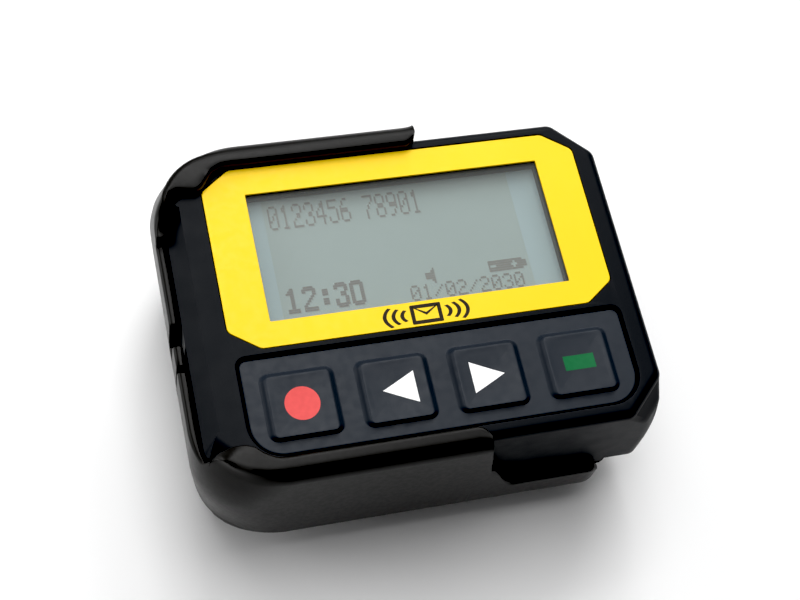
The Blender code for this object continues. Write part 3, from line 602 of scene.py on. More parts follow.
def keypad_sheet(look):
    b = Builder()
    levels = eased_levels(PAD_BOTTOM_Z, PAD_TOP_Z, 0.3, 5)
    outer = [b.level(pad_outline(i), z) for i, z in levels]
    b.stack(outer)
    tops, bottoms = [], []
    for name in KEY_NAMES:
        outline = key_outline(name, 0.0)
        tops.append(b.level(outline, PAD_TOP_Z))
        bottoms.append(b.level(outline, PAD_BOTTOM_Z))
        b.band(tops[-1], bottoms[-1])
    b.flat(outer[-1], *tops)
    b.flat(outer[0], *bottoms)
    b.piece("keypad", "pager", look, ["keypad_sheet"], sharp=40.0)


# A key's plan, from the sheet (part 0) to the rim of its top (part 1): how far it reaches to the
# left, right, bottom and top of the key's centre. The skirt ends and the cap starts at the seam.
KEY_BASE = (5.85, 5.85, 5.30, 5.85)
KEY_RIM = (4.80, 4.72, 4.98, 4.72)
KEY_BASE_R, KEY_RIM_R = 1.5, 0.65
KEY_DISH = 0.24
KEY_DISH_REACH, KEY_DISH_R = 4.7, 5.4
KEY_SEAM = 0.5
KEY_WALL = 0.35
KEY_STEPS = 8
KEY_TOP_INSETS = (0.12, 0.3, 0.55, 0.9, 1.4, 2.0, 2.6, 3.2, 3.8, 4.3)


def key_outline(name, part, inset=0.0):
    """A key's outline at part, with its straight sides divided."""
    (x, y), _, _ = design_box(name)
    reaches = zip(KEY_BASE, KEY_RIM, strict=True)
    left, right, low, high = (base + (rim - base) * part - inset for base, rim in reaches)
    radius = KEY_BASE_R + (KEY_RIM_R - KEY_BASE_R) * part - inset * 0.3
    outline = sided(x - left, x + right, y - low, y + high, max(radius, 0.2), KEY_STEPS)
    divided = []
    for i, point in enumerate(outline):
        divided.append(point)
        if i % (KEY_STEPS + 1) == KEY_STEPS:
            (x0, y0), (x1, y1) = point, outline[(i + 1) % len(outline)]
            shares = [step / KEY_STEPS for step in range(1, KEY_STEPS)]
            divided += [(x0 + (x1 - x0) * share, y0 + (y1 - y0) * share) for share in shares]
    return divided


def key_height(part):
    """How high the slope of a key stands at part."""
    return PAD_TOP_Z + (KEY_TOP_Z - PAD_TOP_Z) * smooth(part, -0.02, 1.04)


def key_top(name, x, y):
    """The height of a key's dished top."""
    (cx, cy), _, _ = design_box(name)
    reach = max(abs(x - cx), abs(y - cy)) / KEY_DISH_REACH
    round_reach = hypot(x - cx, y - cy) / KEY_DISH_R
    depth = 1 - min(0.5 * reach**2 + 0.5 * round_reach**2, 1.0)
    return KEY_TOP_Z - KEY_DISH * depth


def key_skirt(name, look):
    """The slope's lower part, which joins the sheet; on the real keypad it bends when the key is
    pressed, but this piece is a fixed shape on no body.
    """
    b = Builder()
    parts = [KEY_SEAM * i / KEY_STEPS for i in range(KEY_STEPS + 1)]
    outlines = [key_outline(name, part) for part in parts]
    heights = [PAD_TOP_Z] + [key_height(part) for part in parts[1:]]
    levels = list(zip(outlines, heights, strict=True))
    outer = [b.level(outline, z) for outline, z in levels]
    inner = [b.level(offset(outline, -KEY_WALL), z - KEY_WALL) for outline, z in reversed(levels)]
    b.stack(outer + inner)
    b.band(inner[-1], outer[0])
    web = b.piece(name + "_skirt", None, look, sharp=60.0, weighted=False)
    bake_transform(web)


def key_cap(name, look):
    """The slope's upper part and the dished top."""
    b = Builder()
    seam = offset(key_outline(name, KEY_SEAM), -0.02)
    rings = [b.level(seam, key_height(KEY_SEAM) - KEY_WALL)]
    for i in range(KEY_STEPS + 1):
        part = KEY_SEAM + (1 - KEY_SEAM) * i / KEY_STEPS
        rings.append(b.level(key_outline(name, part), key_height(part)))
    for inset in KEY_TOP_INSETS:
        settle = smooth(inset, 0.0, 0.6)
        ring = []
        for x, y in key_outline(name, 1.0, inset):
            ring.append((x, y, KEY_TOP_Z + (key_top(name, x, y) - KEY_TOP_Z) * settle))
        rings.append(b.ring(ring))
    b.solid(rings)
    b.piece(name + "_cap", name, look, [name], sharp=60.0, weighted=False)


def key_plunger(name, look):
    b = Builder()
    (x, y), _, (end, _) = design_box(name)
    stem = circle(x, y, PLUNGER_R, 24)
    levels = ((0.3, end), (0.0, end + 0.3), (0.0, key_height(KEY_SEAM) - 0.4))
    b.solid([b.level(offset(stem, -inset), z) for inset, z in levels])
    b.piece(name + "_plunger", name, look, sharp=40.0)


PRINT_LIFT, PRINT_DEPTH = 0.015, 0.04


def print_on_key(name, suffix, grid, look):
    """Ink on a key: grid is rows of (x, y) from the key's centre, which follow the dish."""
    (cx, cy), _, _ = design_box(name)
    b = Builder()
    layers = []
    for lift in (-PRINT_DEPTH, PRINT_LIFT):
        layer = []
        for row in grid:
            points = [(cx + x, cy + y) for x, y in row]
            layer.append(b.ring([(x, y, key_top(name, x, y) + lift) for x, y in points]))
        layers.append(layer)
    lower, upper = layers
    for rows in layers:
        b.stack(rows, closed=False)
    for end in (0, -1):
        b.band(lower[end], upper[end], closed=False)
        b.band([row[end] for row in lower], [row[end] for row in upper], closed=False)
    b.piece(name + suffix, name, look, sharp=60.0, weighted=False)


def quad_grid(corners):
    """Rows of points across a four-sided shape."""
    a, b, c, d = (Vector(p) for p in corners)
    shares = [i / 10 for i in range(11)]
    return [[tuple(a.lerp(d, v).lerp(b.lerp(c, v), u)) for u in shares] for v in shares]


def disc_grid(radius):
    """Rows of points across a disc."""
    span = [2 * i / 12 - 1 for i in range(13)]
    return [
        [(radius * u * sqrt(1 - v * v / 2), radius * v * sqrt(1 - u * u / 2)) for u in span]
        for v in span
    ]


def key_prints():
    red = ink("ink_red", (0.68, 0.085, 0.082), 0.45)
    white = ink("ink_white", (0.93, 0.93, 0.93), 0.45)
    green = ink("ink_green", (0.008, 0.125, 0.040), 0.45)
    tip = 0.02
    left_arrow = ((-2.2, -tip), (3.0, -2.6), (3.0, 2.6), (-2.2, tip))
    right_arrow = ((-2.8, -2.6), (2.4, -tip), (2.4, tip), (-2.8, 2.6))
    bar = ((-2.5, -1.2), (2.5, -1.2), (2.5, 1.2), (-2.5, 1.2))
    print_on_key("key_cancel", "_disc", disc_grid(2.7), red)
    print_on_key("key_left", "_arrow", quad_grid(left_arrow), white)
    print_on_key("key_right", "_arrow", quad_grid(right_arrow), white)
    print_on_key("key_ok", "_bar", quad_grid(bar), green)


# ---- display

DOT_W, DOT_H = 0.32, 0.40
TOP_LINE_W, TOP_LINE_H = 0.327, 0.44  # the top line's dots
DOT_TRIM = 0.02
SMALL_PITCH, LARGE_PITCH = 6, 8  # dots from one character to the next
SCREEN_LEFT, SCREEN_TOP = -20.0, 20.3
SCREEN_W, SCREEN_H = 128 * DOT_W, 64 * DOT_H
# How far the painted shadow of the LCD's dots lies to the right of them and below them
PAINTED_SHADOW_RIGHT, PAINTED_SHADOW_DOWN = 0.16, 0.2
INK_HEIGHT = 0.02

SMALL_DIGITS = {
    "0": "01110 10001 10011 10101 11001 10001 01110",
    "1": "00100 01100 00100 00100 00100 00100 01110",
    "2": "01110 10001 00001 00110 01000 10000 11111",
    "3": "01110 10001 00001 00110 00001 10001 01110",
    "4": "00010 00110 01010 10010 11111 00010 00010",
    "5": "11111 10000 11110 00001 00001 10001 01110",
    "6": "00110 01000 10000 11110 10001 10001 01110",
    "7": "11111 00001 00010 00100 01000 01000 01000",
    "8": "01110 10001 10001 01110 10001 10001 01110",
    "9": "01110 10001 10001 01111 00001 00010 01100",
    "/": "00000 00001 00010 00100 01000 10000 00000",
}
LARGE_DIGITS = {
    "0": "0111110 1111111" + " 1100011" * 7 + " 1111111 0111110",
    "1": "0011000 0111000 1111000" + " 0011000" * 6 + " 1111110 1111110",
    "2": "0111110 1111111 1100011 0000011 0000110 0001100 0011000 0110000 1100000 1111111 1111111",
    "3": "0111110 1111111 1100011 0000011 0001110 0001110 0000011 1100011 1100011 1111111 0111110",
    ":": "0000000 0000000 0011100 0011100 0011100 0000000 0011100 0011100 0011100 0000000 0000000",
}
# The top line's digits repeat some rows of the small ones
TALL_ROWS = (0, 1, 1, 2, 3, 3, 4, 5, 5, 6)
TALL_DIGITS = {
    character: " ".join(pattern.split()[row] for row in TALL_ROWS)
    for character, pattern in SMALL_DIGITS.items()
}
BATTERY = (
    "11111111111111111100 11111111111110111111 10001111111100011111 "
    "11111111111110111111 11111111111111111100"
)
SPEAKER = "000010 000110 111110 111110 111110 000110 000010"


def dots(pattern, left, top, width=DOT_W, height=DOT_H):
    """Boxes (x0, x1, y0, y1) of the runs of dark dots in a pattern."""
    boxes = []
    for row, line in enumerate(pattern.split()):
        y1 = top - row * height
        y0 = y1 - height
        for run in re.finditer("1+", line):
            x0, x1 = left + run.start() * width, left + run.end() * width
            boxes.append((x0 + DOT_TRIM, x1 - DOT_TRIM, y0 + DOT_TRIM, y1 - DOT_TRIM))
    return boxes


def text(characters, digits, left, top, pitch, width=DOT_W, height=DOT_H):
    """Boxes of a line of characters, which leaves a gap for one that digits doesn't hold."""
    boxes = []
    for i, character in enumerate(characters):
        if character in digits:
            boxes += dots(digits[character], left + pitch * i * width, top, width, height)
    return boxes


def dot_piece(name, boxes, z, look):
    """Runs of dark dots, as one thin piece."""
    b = Builder()
    for x0, x1, y0, y1 in boxes:
        outline = sided(x0, x1, y0, y1)
        b.solid([b.level(outline, z), b.level(outline, z + INK_HEIGHT)])
    b.piece(name, "pager", look, weighted=False)


def display():
    x, y = WINDOW_AT
    glass = display_glass("lcd_border", (0.222, 0.298, 0.308), (0.228, 0.304, 0.313))
    active = display_glass("lcd_active", (0.208, 0.264, 0.252), (0.215, 0.272, 0.260))
    dark = ink("lcd_dark", (0.080, 0.078, 0.070), 0.4)
    # soft is the colour of the painted shadow that the dots seem to cast
    soft = ink("lcd_painted_shadow", (0.175, 0.220, 0.210), 0.4)
    outline = box_outline(x, y, GLASS_W, GLASS_H, 0.3, 2)
    flat_piece(
        "lcd_cell", outline, GLASS_BOTTOM_Z, GLASS_TOP_Z, glass, ["lcd_glass"]
    )
    bottom = max(SCREEN_TOP - SCREEN_H, y - GLASS_H / 2 + 0.5)
    field = sided(SCREEN_LEFT - 0.3, SCREEN_LEFT + SCREEN_W, bottom, SCREEN_TOP)
    flat_piece("lcd_field", field, GLASS_TOP_Z, GLASS_TOP_Z + 0.01, active)
    large = text("12:30", LARGE_DIGITS, SCREEN_LEFT + 0.65, 4.0, LARGE_PITCH)
    small = text("01/02/2030", SMALL_DIGITS, 0.4, 1.7, SMALL_PITCH)
    top_line = (SCREEN_LEFT + 0.4, 18.9, SMALL_PITCH, TOP_LINE_W, TOP_LINE_H)
    small += text("0123456 78901", TALL_DIGITS, *top_line)
    small += dots(BATTERY, 14.0, 4.2)
    small += dots(SPEAKER, 3.4, 4.4)
    # Painted shadow: a paler dark copy of the dots, moved right and down, stands in for the shadow
    # they cast inside the display
    shade = [
        (x0 + PAINTED_SHADOW_RIGHT, x1 + PAINTED_SHADOW_RIGHT, y0 - PAINTED_SHADOW_DOWN, y1 - PAINTED_SHADOW_DOWN)
        for x0, x1, y0, y1 in large + small
    ]
    dot_piece("lcd_painted_shadow", shade, GLASS_TOP_Z - 0.005, soft)
    dot_piece("lcd_time", large, GLASS_TOP_Z + 0.02, dark)
    fine = ink("lcd_fine", (0.100, 0.102, 0.090), 0.4)
    dot_piece("lcd_dots", small, GLASS_TOP_Z + 0.02, fine)
    lens = box_outline(x, y, LENS_W, LENS_H, 0.7, 3)
    clear = lens_plastic()
    flat_piece("lens", lens, LENS_BOTTOM_Z, LENS_TOP_Z, clear, ["display_lens"])


# The sign on the label: an envelope between two fans of waves
SIGN_X, SIGN_Y = 1.3, -4.75
SIGN_W, SIGN_H, SIGN_LINE = 5.0, 3.3, 0.62
WAVE_RADII = (3.9, 5.3, 6.7)
WAVE_TURN, WAVE_STEPS = 64, 14
WAVE_FLATTEN = 0.46


def wave(side, radius):
    """An arc of the fan to the left (side -1) or to the right (side 1)."""
    turn = [radians(-WAVE_TURN / 2 + WAVE_TURN * i / WAVE_STEPS) for i in range(WAVE_STEPS + 1)]
    near, far = (
        [(SIGN_X + side * r * cos(a), SIGN_Y + r * sin(a) * WAVE_FLATTEN) for a in turn]
        for r in (radius - SIGN_LINE / 2, radius + SIGN_LINE / 2)
    )
    return near + far[::-1]


def pictogram():
    b = Builder()
    low, high = LABEL_TOP_Z - 0.02, LABEL_TOP_Z + 0.015
    outer = box_outline(SIGN_X, SIGN_Y, SIGN_W, SIGN_H, 0.2, 3)
    inner = box_outline(SIGN_X, SIGN_Y, SIGN_W - 2 * SIGN_LINE, SIGN_H - 2 * SIGN_LINE)
    rings = [b.level(outer, low), b.level(outer, high)]
    holes = [b.level(inner, low), b.level(inner, high)]
    b.stack(rings)
    b.stack(holes)
    b.flat(rings[0], holes[0])
    b.flat(rings[1], holes[1])
    half, top = SIGN_W / 2 - SIGN_LINE * 0.6, SIGN_Y + SIGN_H / 2 - SIGN_LINE * 0.6
    shapes = []
    for side in (-1, 1):
        x, y, corner = SIGN_X, SIGN_Y, SIGN_X + side * half
        shapes.append([(corner, top), (x, y - 0.25), (x, y + 0.25), (corner, top + 0.1)])
        shapes += [wave(side, radius) for radius in WAVE_RADII]
    for shape in shapes:
        b.solid([b.level(shape, low), b.level(shape, high)])
    dark = ink("ink_dark", (0.016, 0.011, 0.006), 0.45)
    b.piece("label_sign", "pager", dark, weighted=False)


# ---- holster

# The wall's top down the straight left end, with its two notches: (y, height over LEFT_WALL_Z)
NOTCH = -8.0
LEFT_END = (
    (15.0, 2.3), (14.6, 2.25), (14.35, 2.05), (14.2, 1.5), (14.1, 0.7), (13.95, 0.15),
    (13.6, 0.0), (10.0, 0.0), (5.0, 0.0), (0.95, 0.0), (0.6, -0.15), (0.45, -0.6), (0.4, NOTCH),
    (-2.9, NOTCH), (-2.95, -0.6), (-3.1, -0.15), (-3.4, 0.0), (-6.35, 0.0), (-6.6, -0.2),
    (-6.7, NOTCH), (-7.35, NOTCH), (-7.45, -0.2), (-7.7, 0.0), (-12.0, 0.0), (-15.0, 0.0),
)

# The hoods over the upper and the lower corner: (place, x, |y|, top z, underside z) of the hood's
# edge. The place is a length along the wall's inside, from the start of the corner's arc.
CORNER_R = 5.25
ARC_X, ARC_Y = -CASE_W / 2 - HOLSTER_CLEAR + CORNER_R, CASE_H / 2 + HOLSTER_CLEAR - CORNER_R
HOOD_START = (
    (-9.0, -22.2, 24.8, 1.9, 0.3), (-7.0, -24.2, 24.85, 1.9, 0.3),
    (-5.0, -26.0, 24.75, 1.9, 0.3),
)
UPPER_HOOD = (
    *HOOD_START,
    (-2.5, -27.6, 23.9, 1.9, 0.3), (0.0, -28.7, 22.5, 1.9, 0.3),
    (2.0, -29.5, 21.5, 1.85, 0.3), (4.0, -30.5, 20.9, 1.75, 0.3),
    (5.5, -31.6, 20.9, 1.55, 0.3), (6.8, -32.7, 21.0, 1.35, 0.3),
    (8.25, -33.8, 20.5, 0.9, 0.15), (9.8, -34.6, 19.4, 0.3, -0.6),
    (11.5, -35.35, 18.0, -0.5, -1.4), (13.5, -36.05, 16.3, -1.3, -2.2),
    (15.1, -36.35, 14.95, -1.6, -2.6),
)
LOWER_HOOD = (
    *HOOD_START,
    (-2.5, -27.8, 23.7, 1.9, 0.3), (0.0, -29.0, 22.6, 1.85, 0.3),
    (2.0, -30.3, 22.1, 1.75, 0.3), (3.4, -32.2, 22.0, 1.45, 0.2),
    (4.6, -34.3, 22.5, 0.85, -0.3), (5.6, -35.9, 23.3, -0.3, -1.9),
    (6.2, -36.35, 23.6, -1.2, -2.8),
)
HOOD_LEVEL_Z = -0.7  # the hood's crest comes down to this at its tip

# The radius of the wall's corners at a height: (z, inside, outside)
HOLSTER_CORNERS = (
    (1.9, 9.2, 15.6), (0.0, 9.2, 14.6), (-2.6, 7.1, 12.6), (-5.0, 6.3, 10.8),
    (-9.0, 5.7, 9.2), (-13.0, 6.3, 10.0), (-18.6, 7.9, 12.6), (-22.6, 8.9, 14.8),
)
ZONE = 15.0  # a corner's rounding reaches this far along both sides

# The section's heights that stay put, and the ones where its kind changes
INSIDE_LEVELS = (-18.6, -13.0)
OUTSIDE_LEVELS = (-9.0, -13.0, -17.0)
LIP_FOOT_Z = -12.9  # what lies inwards of the wall is lip above this, and floor below it
LOW_INSIDE_Z, LOW_OUTSIDE_Z = -10, -7.5  # a wall that ends below these has its own levels
TAPER_START, TAPER_END = 9.0, 21.0  # depths between which the left wall leans inwards
WALL_TOP_R = 0.6


def corner_reach(cos_a, sin_a, size, radius):
    """How far a ray from a corner zone's inner point runs to the corner's outline."""
    c = size - radius
    middle = c * (cos_a + sin_a)
    run = middle + sqrt(max(middle * middle - 2 * c * c + radius * radius, 0.0))
    if run * min(cos_a, sin_a) >= c:
        return run
    return size / max(cos_a, sin_a)


def slide(x, y, z, part):
    """Where the rounder corner of its height puts a point of the wall: (how far it moves, the
    outward direction there), or None away from the corners. part runs from 0 on the wall's
    inside to 1 on its outside."""
    u = -x - (CASE_W / 2 + HOLSTER_CLEAR - ZONE)
    v = abs(y) - (CASE_H / 2 + HOLSTER_CLEAR - ZONE)
    if u <= 0 or v <= 0:
        return None
    length = hypot(u, v)
    cos_a, sin_a = u / length, v / length
    inside, outside = along_table(HOLSTER_CORNERS, z)
    moved = corner_reach(cos_a, sin_a, ZONE, inside) - corner_reach(cos_a, sin_a, ZONE, CORNER_R)
    size, radius = ZONE + HOLSTER_WALL, CORNER_R + HOLSTER_WALL
    outer = corner_reach(cos_a, sin_a, size, outside) - corner_reach(cos_a, sin_a, size, radius)
    amount = moved + (outer - moved) * min(max(part, 0.0), 1.0)
    return amount, Vector((-cos_a, sin_a if y > 0 else -sin_a))


def place_on_hood(x, y):
    """How far a point on the wall's inside is along it from the start of the corner's arc."""
    if x > ARC_X:
        return ARC_X - x
    if abs(y) > ARC_Y:
        return CORNER_R * atan2(ARC_X - x, abs(y) - ARC_Y)
    return CORNER_R * pi / 2 + ARC_Y - abs(y)


def holster_path():
    """Stations along the inside of the wall: (x, y, outward normal, place on the hood's scale).
    They run from the right end of the top side, round the left end, to the right end of the
    bottom side, and lie closer together where the wall's height changes."""
    top, left = CASE_H / 2 + HOLSTER_CLEAR, -CASE_W / 2 - HOLSTER_CLEAR
    end_steps = (0.0, 0.08, 0.25, 0.5, 0.9, 1.4, 2.0, 4.0, 7.2, 10.0)
    tip_steps = (-0.1, 0.0, 0.04, 0.15, 0.32, 0.55, 0.85, 1.2, 1.6, 2.0)
    xs = [PLATE_RIGHT_X - step for step in end_steps]
    xs += [16.5 - 0.45 * i for i in range(22)]
    xs += [RAIL_END_X - step for step in tip_steps]
    xs += [-2.0 - 4.0 * i for i in range(5)]
    xs += [-21.5 - 0.7 * i for i in range(14)]
    half = [(x, top) for x in xs]
    for step in range(19):
        angle = pi / 2 + pi / 2 * step / 18
        half.append((ARC_X + CORNER_R * cos(angle), ARC_Y + CORNER_R * sin(angle)))
    half += [(left, ARC_Y - 0.55 * i) for i in range(1, 13)]
    points = half + [(left, y) for y, _ in LEFT_END] + [(x, -y) for x, y in reversed(half)]
    stations = []
    for i, (x, y) in enumerate(points):
        x0, y0 = points[max(i - 1, 0)]
        x1, y1 = points[min(i + 1, len(points) - 1)]
        length = hypot(x1 - x0, y1 - y0)
        normal = Vector(((y1 - y0) / length, (x0 - x1) / length))
        stations.append((x, y, normal, place_on_hood(x, y)))
    return stations


def hood_edge(x, y, along):
    """The edge of the lip at a station: (x, y, top, underside), or None where there is no lip."""
    table = UPPER_HOOD if y > 0 else LOWER_HOOD
    if along > table[-1][0]:
        return None
    if along > table[0][0]:
        edge_x, edge_y, top, under = along_table(table, along)
        return edge_x, edge_y if y > 0 else -edge_y, top, under
    part = min(RAIL_END_X - x, 2.0) / 2.0
    if part < 0:
        return None
    reach = LIP_REACH * max(sqrt(1 - (1 - part) ** 2), 0.12)
    return x, y - reach if y > 0 else y + reach, LIP_TOP_Z, LIP_UNDER_Z


def wall_top(x, y, along):
    """How high the wall stands where it has no lip."""
    if abs(y) < LEFT_END[0][0] + 0.01:
        return LEFT_WALL_Z + dict(LEFT_END)[y]
    if along > 0:
        if y > 0:
            return LEFT_WALL_Z + LEFT_END[0][1]
        tip_at, tip_z = LOWER_HOOD[-1][0], LOWER_HOOD[-1][3]
        return LEFT_WALL_Z + (tip_z - LEFT_WALL_Z) * smooth(-along, -7.2, -tip_at)
    drop = smooth(x, RAIL_END_X, 8.2) * 0.55 + smooth(x, 7.6, 13.4) * 0.45
    height = LIP_UNDER_Z + (FLANGE_Z - LIP_UNDER_Z) * drop
    end = max(x - (PLATE_RIGHT_X - END_FADE), 0.0) / END_FADE
    return height - 1.2 * end * end


def arc(centre_s, centre_z, radius, first, last, steps):
    """Points of a section's arc, from the first to the last angle in degrees."""
    turn = [radians(first + (last - first) * i / steps) for i in range(steps + 1)]
    return [(centre_s + radius * cos(a), centre_z + radius * sin(a)) for a in turn]


def lip_reach(x, y, edge):
    return max(hypot(edge[0] - x, edge[1] - y), 0.3)


def lip_crown(x, y, along, edge, thick):
    """The section's points up the wall's inside, out along the lip's underside and back over its
    top, then the crest's height and the outer edge's radius."""
    height, low = edge[2:]
    reach = lip_reach(x, y, edge)
    r = min((height - low) * 0.5, reach * 0.8)
    small = min(0.35, r * 0.5, (height - low) * 0.3)
    inside = (*INSIDE_LEVELS, -9.0, -6.0, min(-2.6, low - 0.6), low - 0.3)
    crown = [(0.0, z) for z in inside]
    crown += [(-0.12, low - 0.02), (-0.5 * (0.12 + reach - small), low)]
    crown += arc(-reach + small, low + small, small, 270, 180, 4)
    crown += arc(-reach + r, height - r, r, 180, 90, 7)[:-1]
    fall = smooth(along, 9.0, 15.1) if y > 0 else smooth(along, 3.0, 6.2)
    crest = LIP_TOP_Z + (max(height, HOOD_LEVEL_Z) - LIP_TOP_Z) * fall
    crown += [(-reach * 0.6, height + (crest - height) * 0.6)]
    return crown, crest, min(3.0 - 2.3 * fall, thick + 0.35 * reach)


def plain_crown(height, thick):
    """The same for a wall with a rounded top and no lip."""
    close, inside = 11, ()
    if height > LOW_INSIDE_Z:
        close, inside = 7, (*INSIDE_LEVELS, -12.0, -11.5)
    crown = [(0.0, z) for z in inside]
    crown += [(0.0, height - WALL_TOP_R - 0.04 * i) for i in range(close, 0, -1)]
    crown += arc(WALL_TOP_R, height - WALL_TOP_R, WALL_TOP_R, 180, 90, 9)
    return crown, height, min(0.7, thick - WALL_TOP_R - 0.05)


def holster_section(x, y, normal, along):
    """The lip's edge, if there is one, and the wall's section at a station, as (distance outwards,
    z), from the floor round to its back. Distances inwards run towards the lip's edge."""
    edge = hood_edge(x, y, along)
    thick = HOLSTER_WALL
    if x > PLATE_RIGHT_X - END_FADE:
        thick -= 0.7 * ((x - PLATE_RIGHT_X + END_FADE) / END_FADE) ** 2
    left = max(-normal.x, 0.0)
    thick -= 0.25 * left
    foot = [(-3.0, PLATE_TOP_Z)] + arc(-0.9, PLATE_TOP_Z + 0.9, 0.9, -90, 0, 4)
    if edge:
        crown, height, edge_r = lip_crown(x, y, along, edge, thick)
    else:
        crown, height, edge_r = plain_crown(wall_top(x, y, along), thick)
    base, top = PLATE_BOTTOM_Z, height - edge_r
    bottom_r = 1.5 + 1.3 * left
    if height > LOW_OUTSIDE_Z:
        upper = OUTSIDE_LEVELS[0]
        levels = [top + (upper - top) * share for share in (0.25, 0.5, 0.75)]
        levels += OUTSIDE_LEVELS
    else:
        levels = [top + (base + bottom_r - top) * i / 7 for i in range(1, 7)]
    taper = [thick - left * smooth(-z, TAPER_START, TAPER_END) for z in [top] + levels]
    crown += arc(taper[0] - edge_r, top, edge_r, 90, 0, 8)
    heel = list(zip(taper[1:], levels, strict=True))
    heel += arc(thick - left - bottom_r, base + bottom_r, bottom_r, 0, -90, 6)
    return edge, foot + crown + heel + [(-3.0, base)]


def wall_point(x, y, s, z, normal, inwards, reach):
    """Where a section's point (s outwards, z) at the station (x, y) lies on the rounder corners."""
    floor = s < 0 and z < LIP_FOOT_Z
    way = inwards if s < 0 and z > LIP_FOOT_Z else normal
    point = Vector((x, y)) if floor else Vector((x, y)) + way * s
    moved = slide(point.x, point.y, z, s / HOLSTER_WALL)
    if moved:
        amount, way = moved
        share = 1.0
        if s < 0 and not floor:
            # the lip's edge stays where its table puts it
            kept = min(max(reach - 0.25, 0.0) / max(-amount, 0.01), 1.0)
            share -= min(-s / reach, 1.0) * kept
        point += way * amount * share
    return (*(point + way * s if floor else point), z)


def holster(look):
    b = Builder()
    rings = []
    for x, y, normal, along in holster_path():
        edge, section = holster_section(x, y, normal, along)
        reach, inwards = 1.0, normal
        if edge:
            reach = lip_reach(x, y, edge)
            inwards = Vector((x - edge[0], y - edge[1])).normalized()
        ring = [wall_point(x, y, s, z, normal, inwards, reach) for s, z in section]
        rings.append(b.ring(ring))
    b.stack(rings, closed=False)
    b.cap([ring[0] for ring in rings])
    b.cap([ring[-1] for ring in rings])
    b.cap(list(rings[0]) + list(reversed(rings[-1])))
    b.piece("holster", "holster", look, ["holster_shell"], sharp=38.0)


# ---- CAD pieces that stay


def dress_nodes(look, *nodes):
    """Gives CAD nodes a look."""
    for node in nodes:
        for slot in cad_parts[node].material_slots:
            slot.material = look


# ---- studio


BLACK_LEVEL = 0.015
FLOOR_HALF = 1.6
BRIGHT_SIDE = Vector((-0.75, 0.50, 0.35))  # where the soft surroundings are brightest
# (name, place in metres, side in metres, watts); each faces the origin
LIGHTS = (
    ("key_light", (-0.03, 0.15, 0.68), 0.46, 2.95),
    ("fill_light", (0.24, 0.48, 0.42), 0.36, 2.1),
    ("back_light", (0.02, 0.43, 0.62), 0.2, 0.95),
    ("side_light", (-0.60, 0.26, 0.20), 0.3, 1.35),
)
# The camera's place in metres, its heading, tilt and roll in degrees, and its lens in millimetres
CAMERA_AT = (-0.05501, -0.09991, 0.24794)
CAMERA_AZIMUTH, CAMERA_ELEVATION, CAMERA_ROLL = 28.724, 62.769, 18.205
FOCAL = 70.56


def make_floor():
    mesh = bpy.data.meshes.new("floor")
    side = FLOOR_HALF
    corners = [(-side, -side, 0), (side, -side, 0), (side, side, 0), (-side, side, 0)]
    mesh.from_pydata(corners, [], [(0, 1, 2, 3)])
    floor = bpy.data.objects.new("floor", mesh)
    bpy.context.scene.collection.objects.link(floor)
    look = Look("floor_white", (0.92, 0.92, 0.92), 0.8)
    look.colours(look.noise(6.0, 2.0), (0.91, 0.91, 0.91), (0.93, 0.93, 0.93))
    mesh.materials.append(look.material)


def make_surroundings():
    """A pale world that is bright on one side."""
    world = bpy.data.worlds.new("studio")
    bpy.context.scene.world = world
    world.use_nodes = True
    nodes, links = world.node_tree.nodes, world.node_tree.links
    coordinates = nodes.new("ShaderNodeTexCoord")
    direction = nodes.new("ShaderNodeVectorMath")
    direction.operation = "DOT_PRODUCT"
    direction.inputs[1].default_value = BRIGHT_SIDE.normalized()
    links.new(coordinates.outputs["Generated"], direction.inputs[0])
    ramp = nodes.new("ShaderNodeValToRGB")
    dark, bright = ramp.color_ramp.elements
    dark.position, dark.color = 0.40, (0.09, 0.09, 0.095, 1)
    bright.position, bright.color = 0.92, (1.0, 1.0, 1.0, 1)
    shift = nodes.new("ShaderNodeMapRange")
    shift.inputs["From Min"].default_value = -1.0
    links.new(direction.outputs["Value"], shift.inputs["Value"])
    links.new(shift.outputs["Result"], ramp.inputs["Fac"])
    links.new(ramp.outputs["Color"], nodes["Background"].inputs["Color"])
    nodes["Background"].inputs["Strength"].default_value = 0.5


def studio():
    scene = bpy.context.scene
    scene.view_settings.view_transform = "Standard"
    scene.view_settings.look = "None"
    scene.view_settings.use_curve_mapping = True
    scene.view_settings.curve_mapping.black_level = (BLACK_LEVEL,) * 3
    make_floor()
    make_surroundings()
    for name, position, size, power in LIGHTS:
        data = bpy.data.lights.new(name, "AREA")
        data.size = size
        data.energy = power
        light = bpy.data.objects.new(name, data)
        light.location = position
        light.rotation_euler = (-Vector(position)).to_track_quat("-Z", "Y").to_euler()
        scene.collection.objects.link(light)


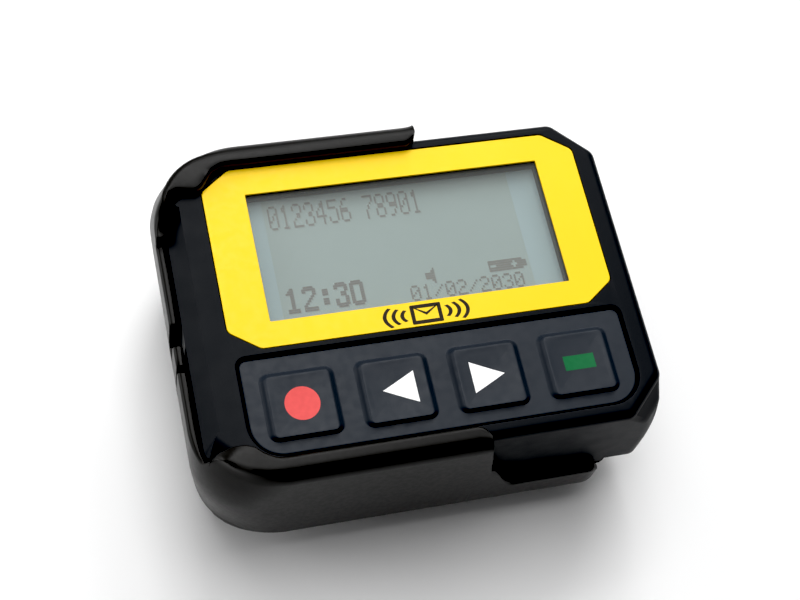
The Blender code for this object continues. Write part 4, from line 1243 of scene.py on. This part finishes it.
def camera():
    data = bpy.data.cameras.new("camera")
    data.lens = FOCAL
    data.sensor_width = 36.0
    data.clip_start = 0.01
    made = bpy.data.objects.new("camera", data)
    made.location = CAMERA_AT
    turn, tilt = radians(CAMERA_AZIMUTH), radians(CAMERA_ELEVATION)
    forward = Vector((sin(turn) * cos(tilt), cos(turn) * cos(tilt), -sin(tilt)))
    level = forward.to_track_quat("-Z", "Y").to_matrix()
    roll = Euler((0.0, 0.0, radians(CAMERA_ROLL))).to_matrix()
    made.rotation_euler = (level @ roll).to_euler()
    bpy.context.scene.collection.objects.link(made)
    bpy.context.scene.camera = made


def main():
    studio()
    camera()
    satin = holster_plastic()
    case = case_plastic()
    rubber = silicone("keypad_silicone", (0.0135, 0.018, 0.0255), (0.015, 0.020, 0.028))
    metal = steel()
    board_white = plain("white_plastic", (0.8, 0.8, 0.78), 0.5)
    chip = plain("black_part", (0.02, 0.02, 0.02), 0.45)
    strip = plain("zebra_rubber", (0.25, 0.25, 0.26), 0.8)
    brass = steel("bare_brass", (0.75, 0.55, 0.25), 0.33)
    front_case(case)
    bosses(case)
    label(label_film())
    keypad_sheet(rubber)
    for name in KEY_NAMES:
        key_skirt(name, rubber)
        key_cap(name, rubber)
        key_plunger(name, rubber)
    key_prints()
    display()
    pictogram()
    holster(satin)
    dress_nodes(satin, "clip_bracket", "belt_clip")
    dress_nodes(case, "rear_housing", "battery_door", "battery_door_latch")
    dress_nodes(board_white, "lcd_holder", "backlight_guide")
    dress_nodes(chip, "processor", "buzzer")
    dress_nodes(strip, "lcd_connector_upper", "lcd_connector_lower")
    dress_nodes(brass, "loop_antenna", "vibration_weight")
    dress_nodes(circuit_board(), "main_board")
    dress_nodes(cell_wrap(), "battery_aaa")
    dress_nodes(metal, "clip_pin", "clip_spring", "battery_spring", "battery_plate")
    dress_nodes(metal, "radio_shield", "crystal", "vibration_motor", "motor_clip")
    for i in (1, 2):
        dress_nodes(metal, f"board_screw_{i}", f"bracket_screw_{i}")
    for i in (1, 2, 3, 4):
        dress_nodes(metal, f"dome_switch_{i}", f"case_screw_{i}")


main()
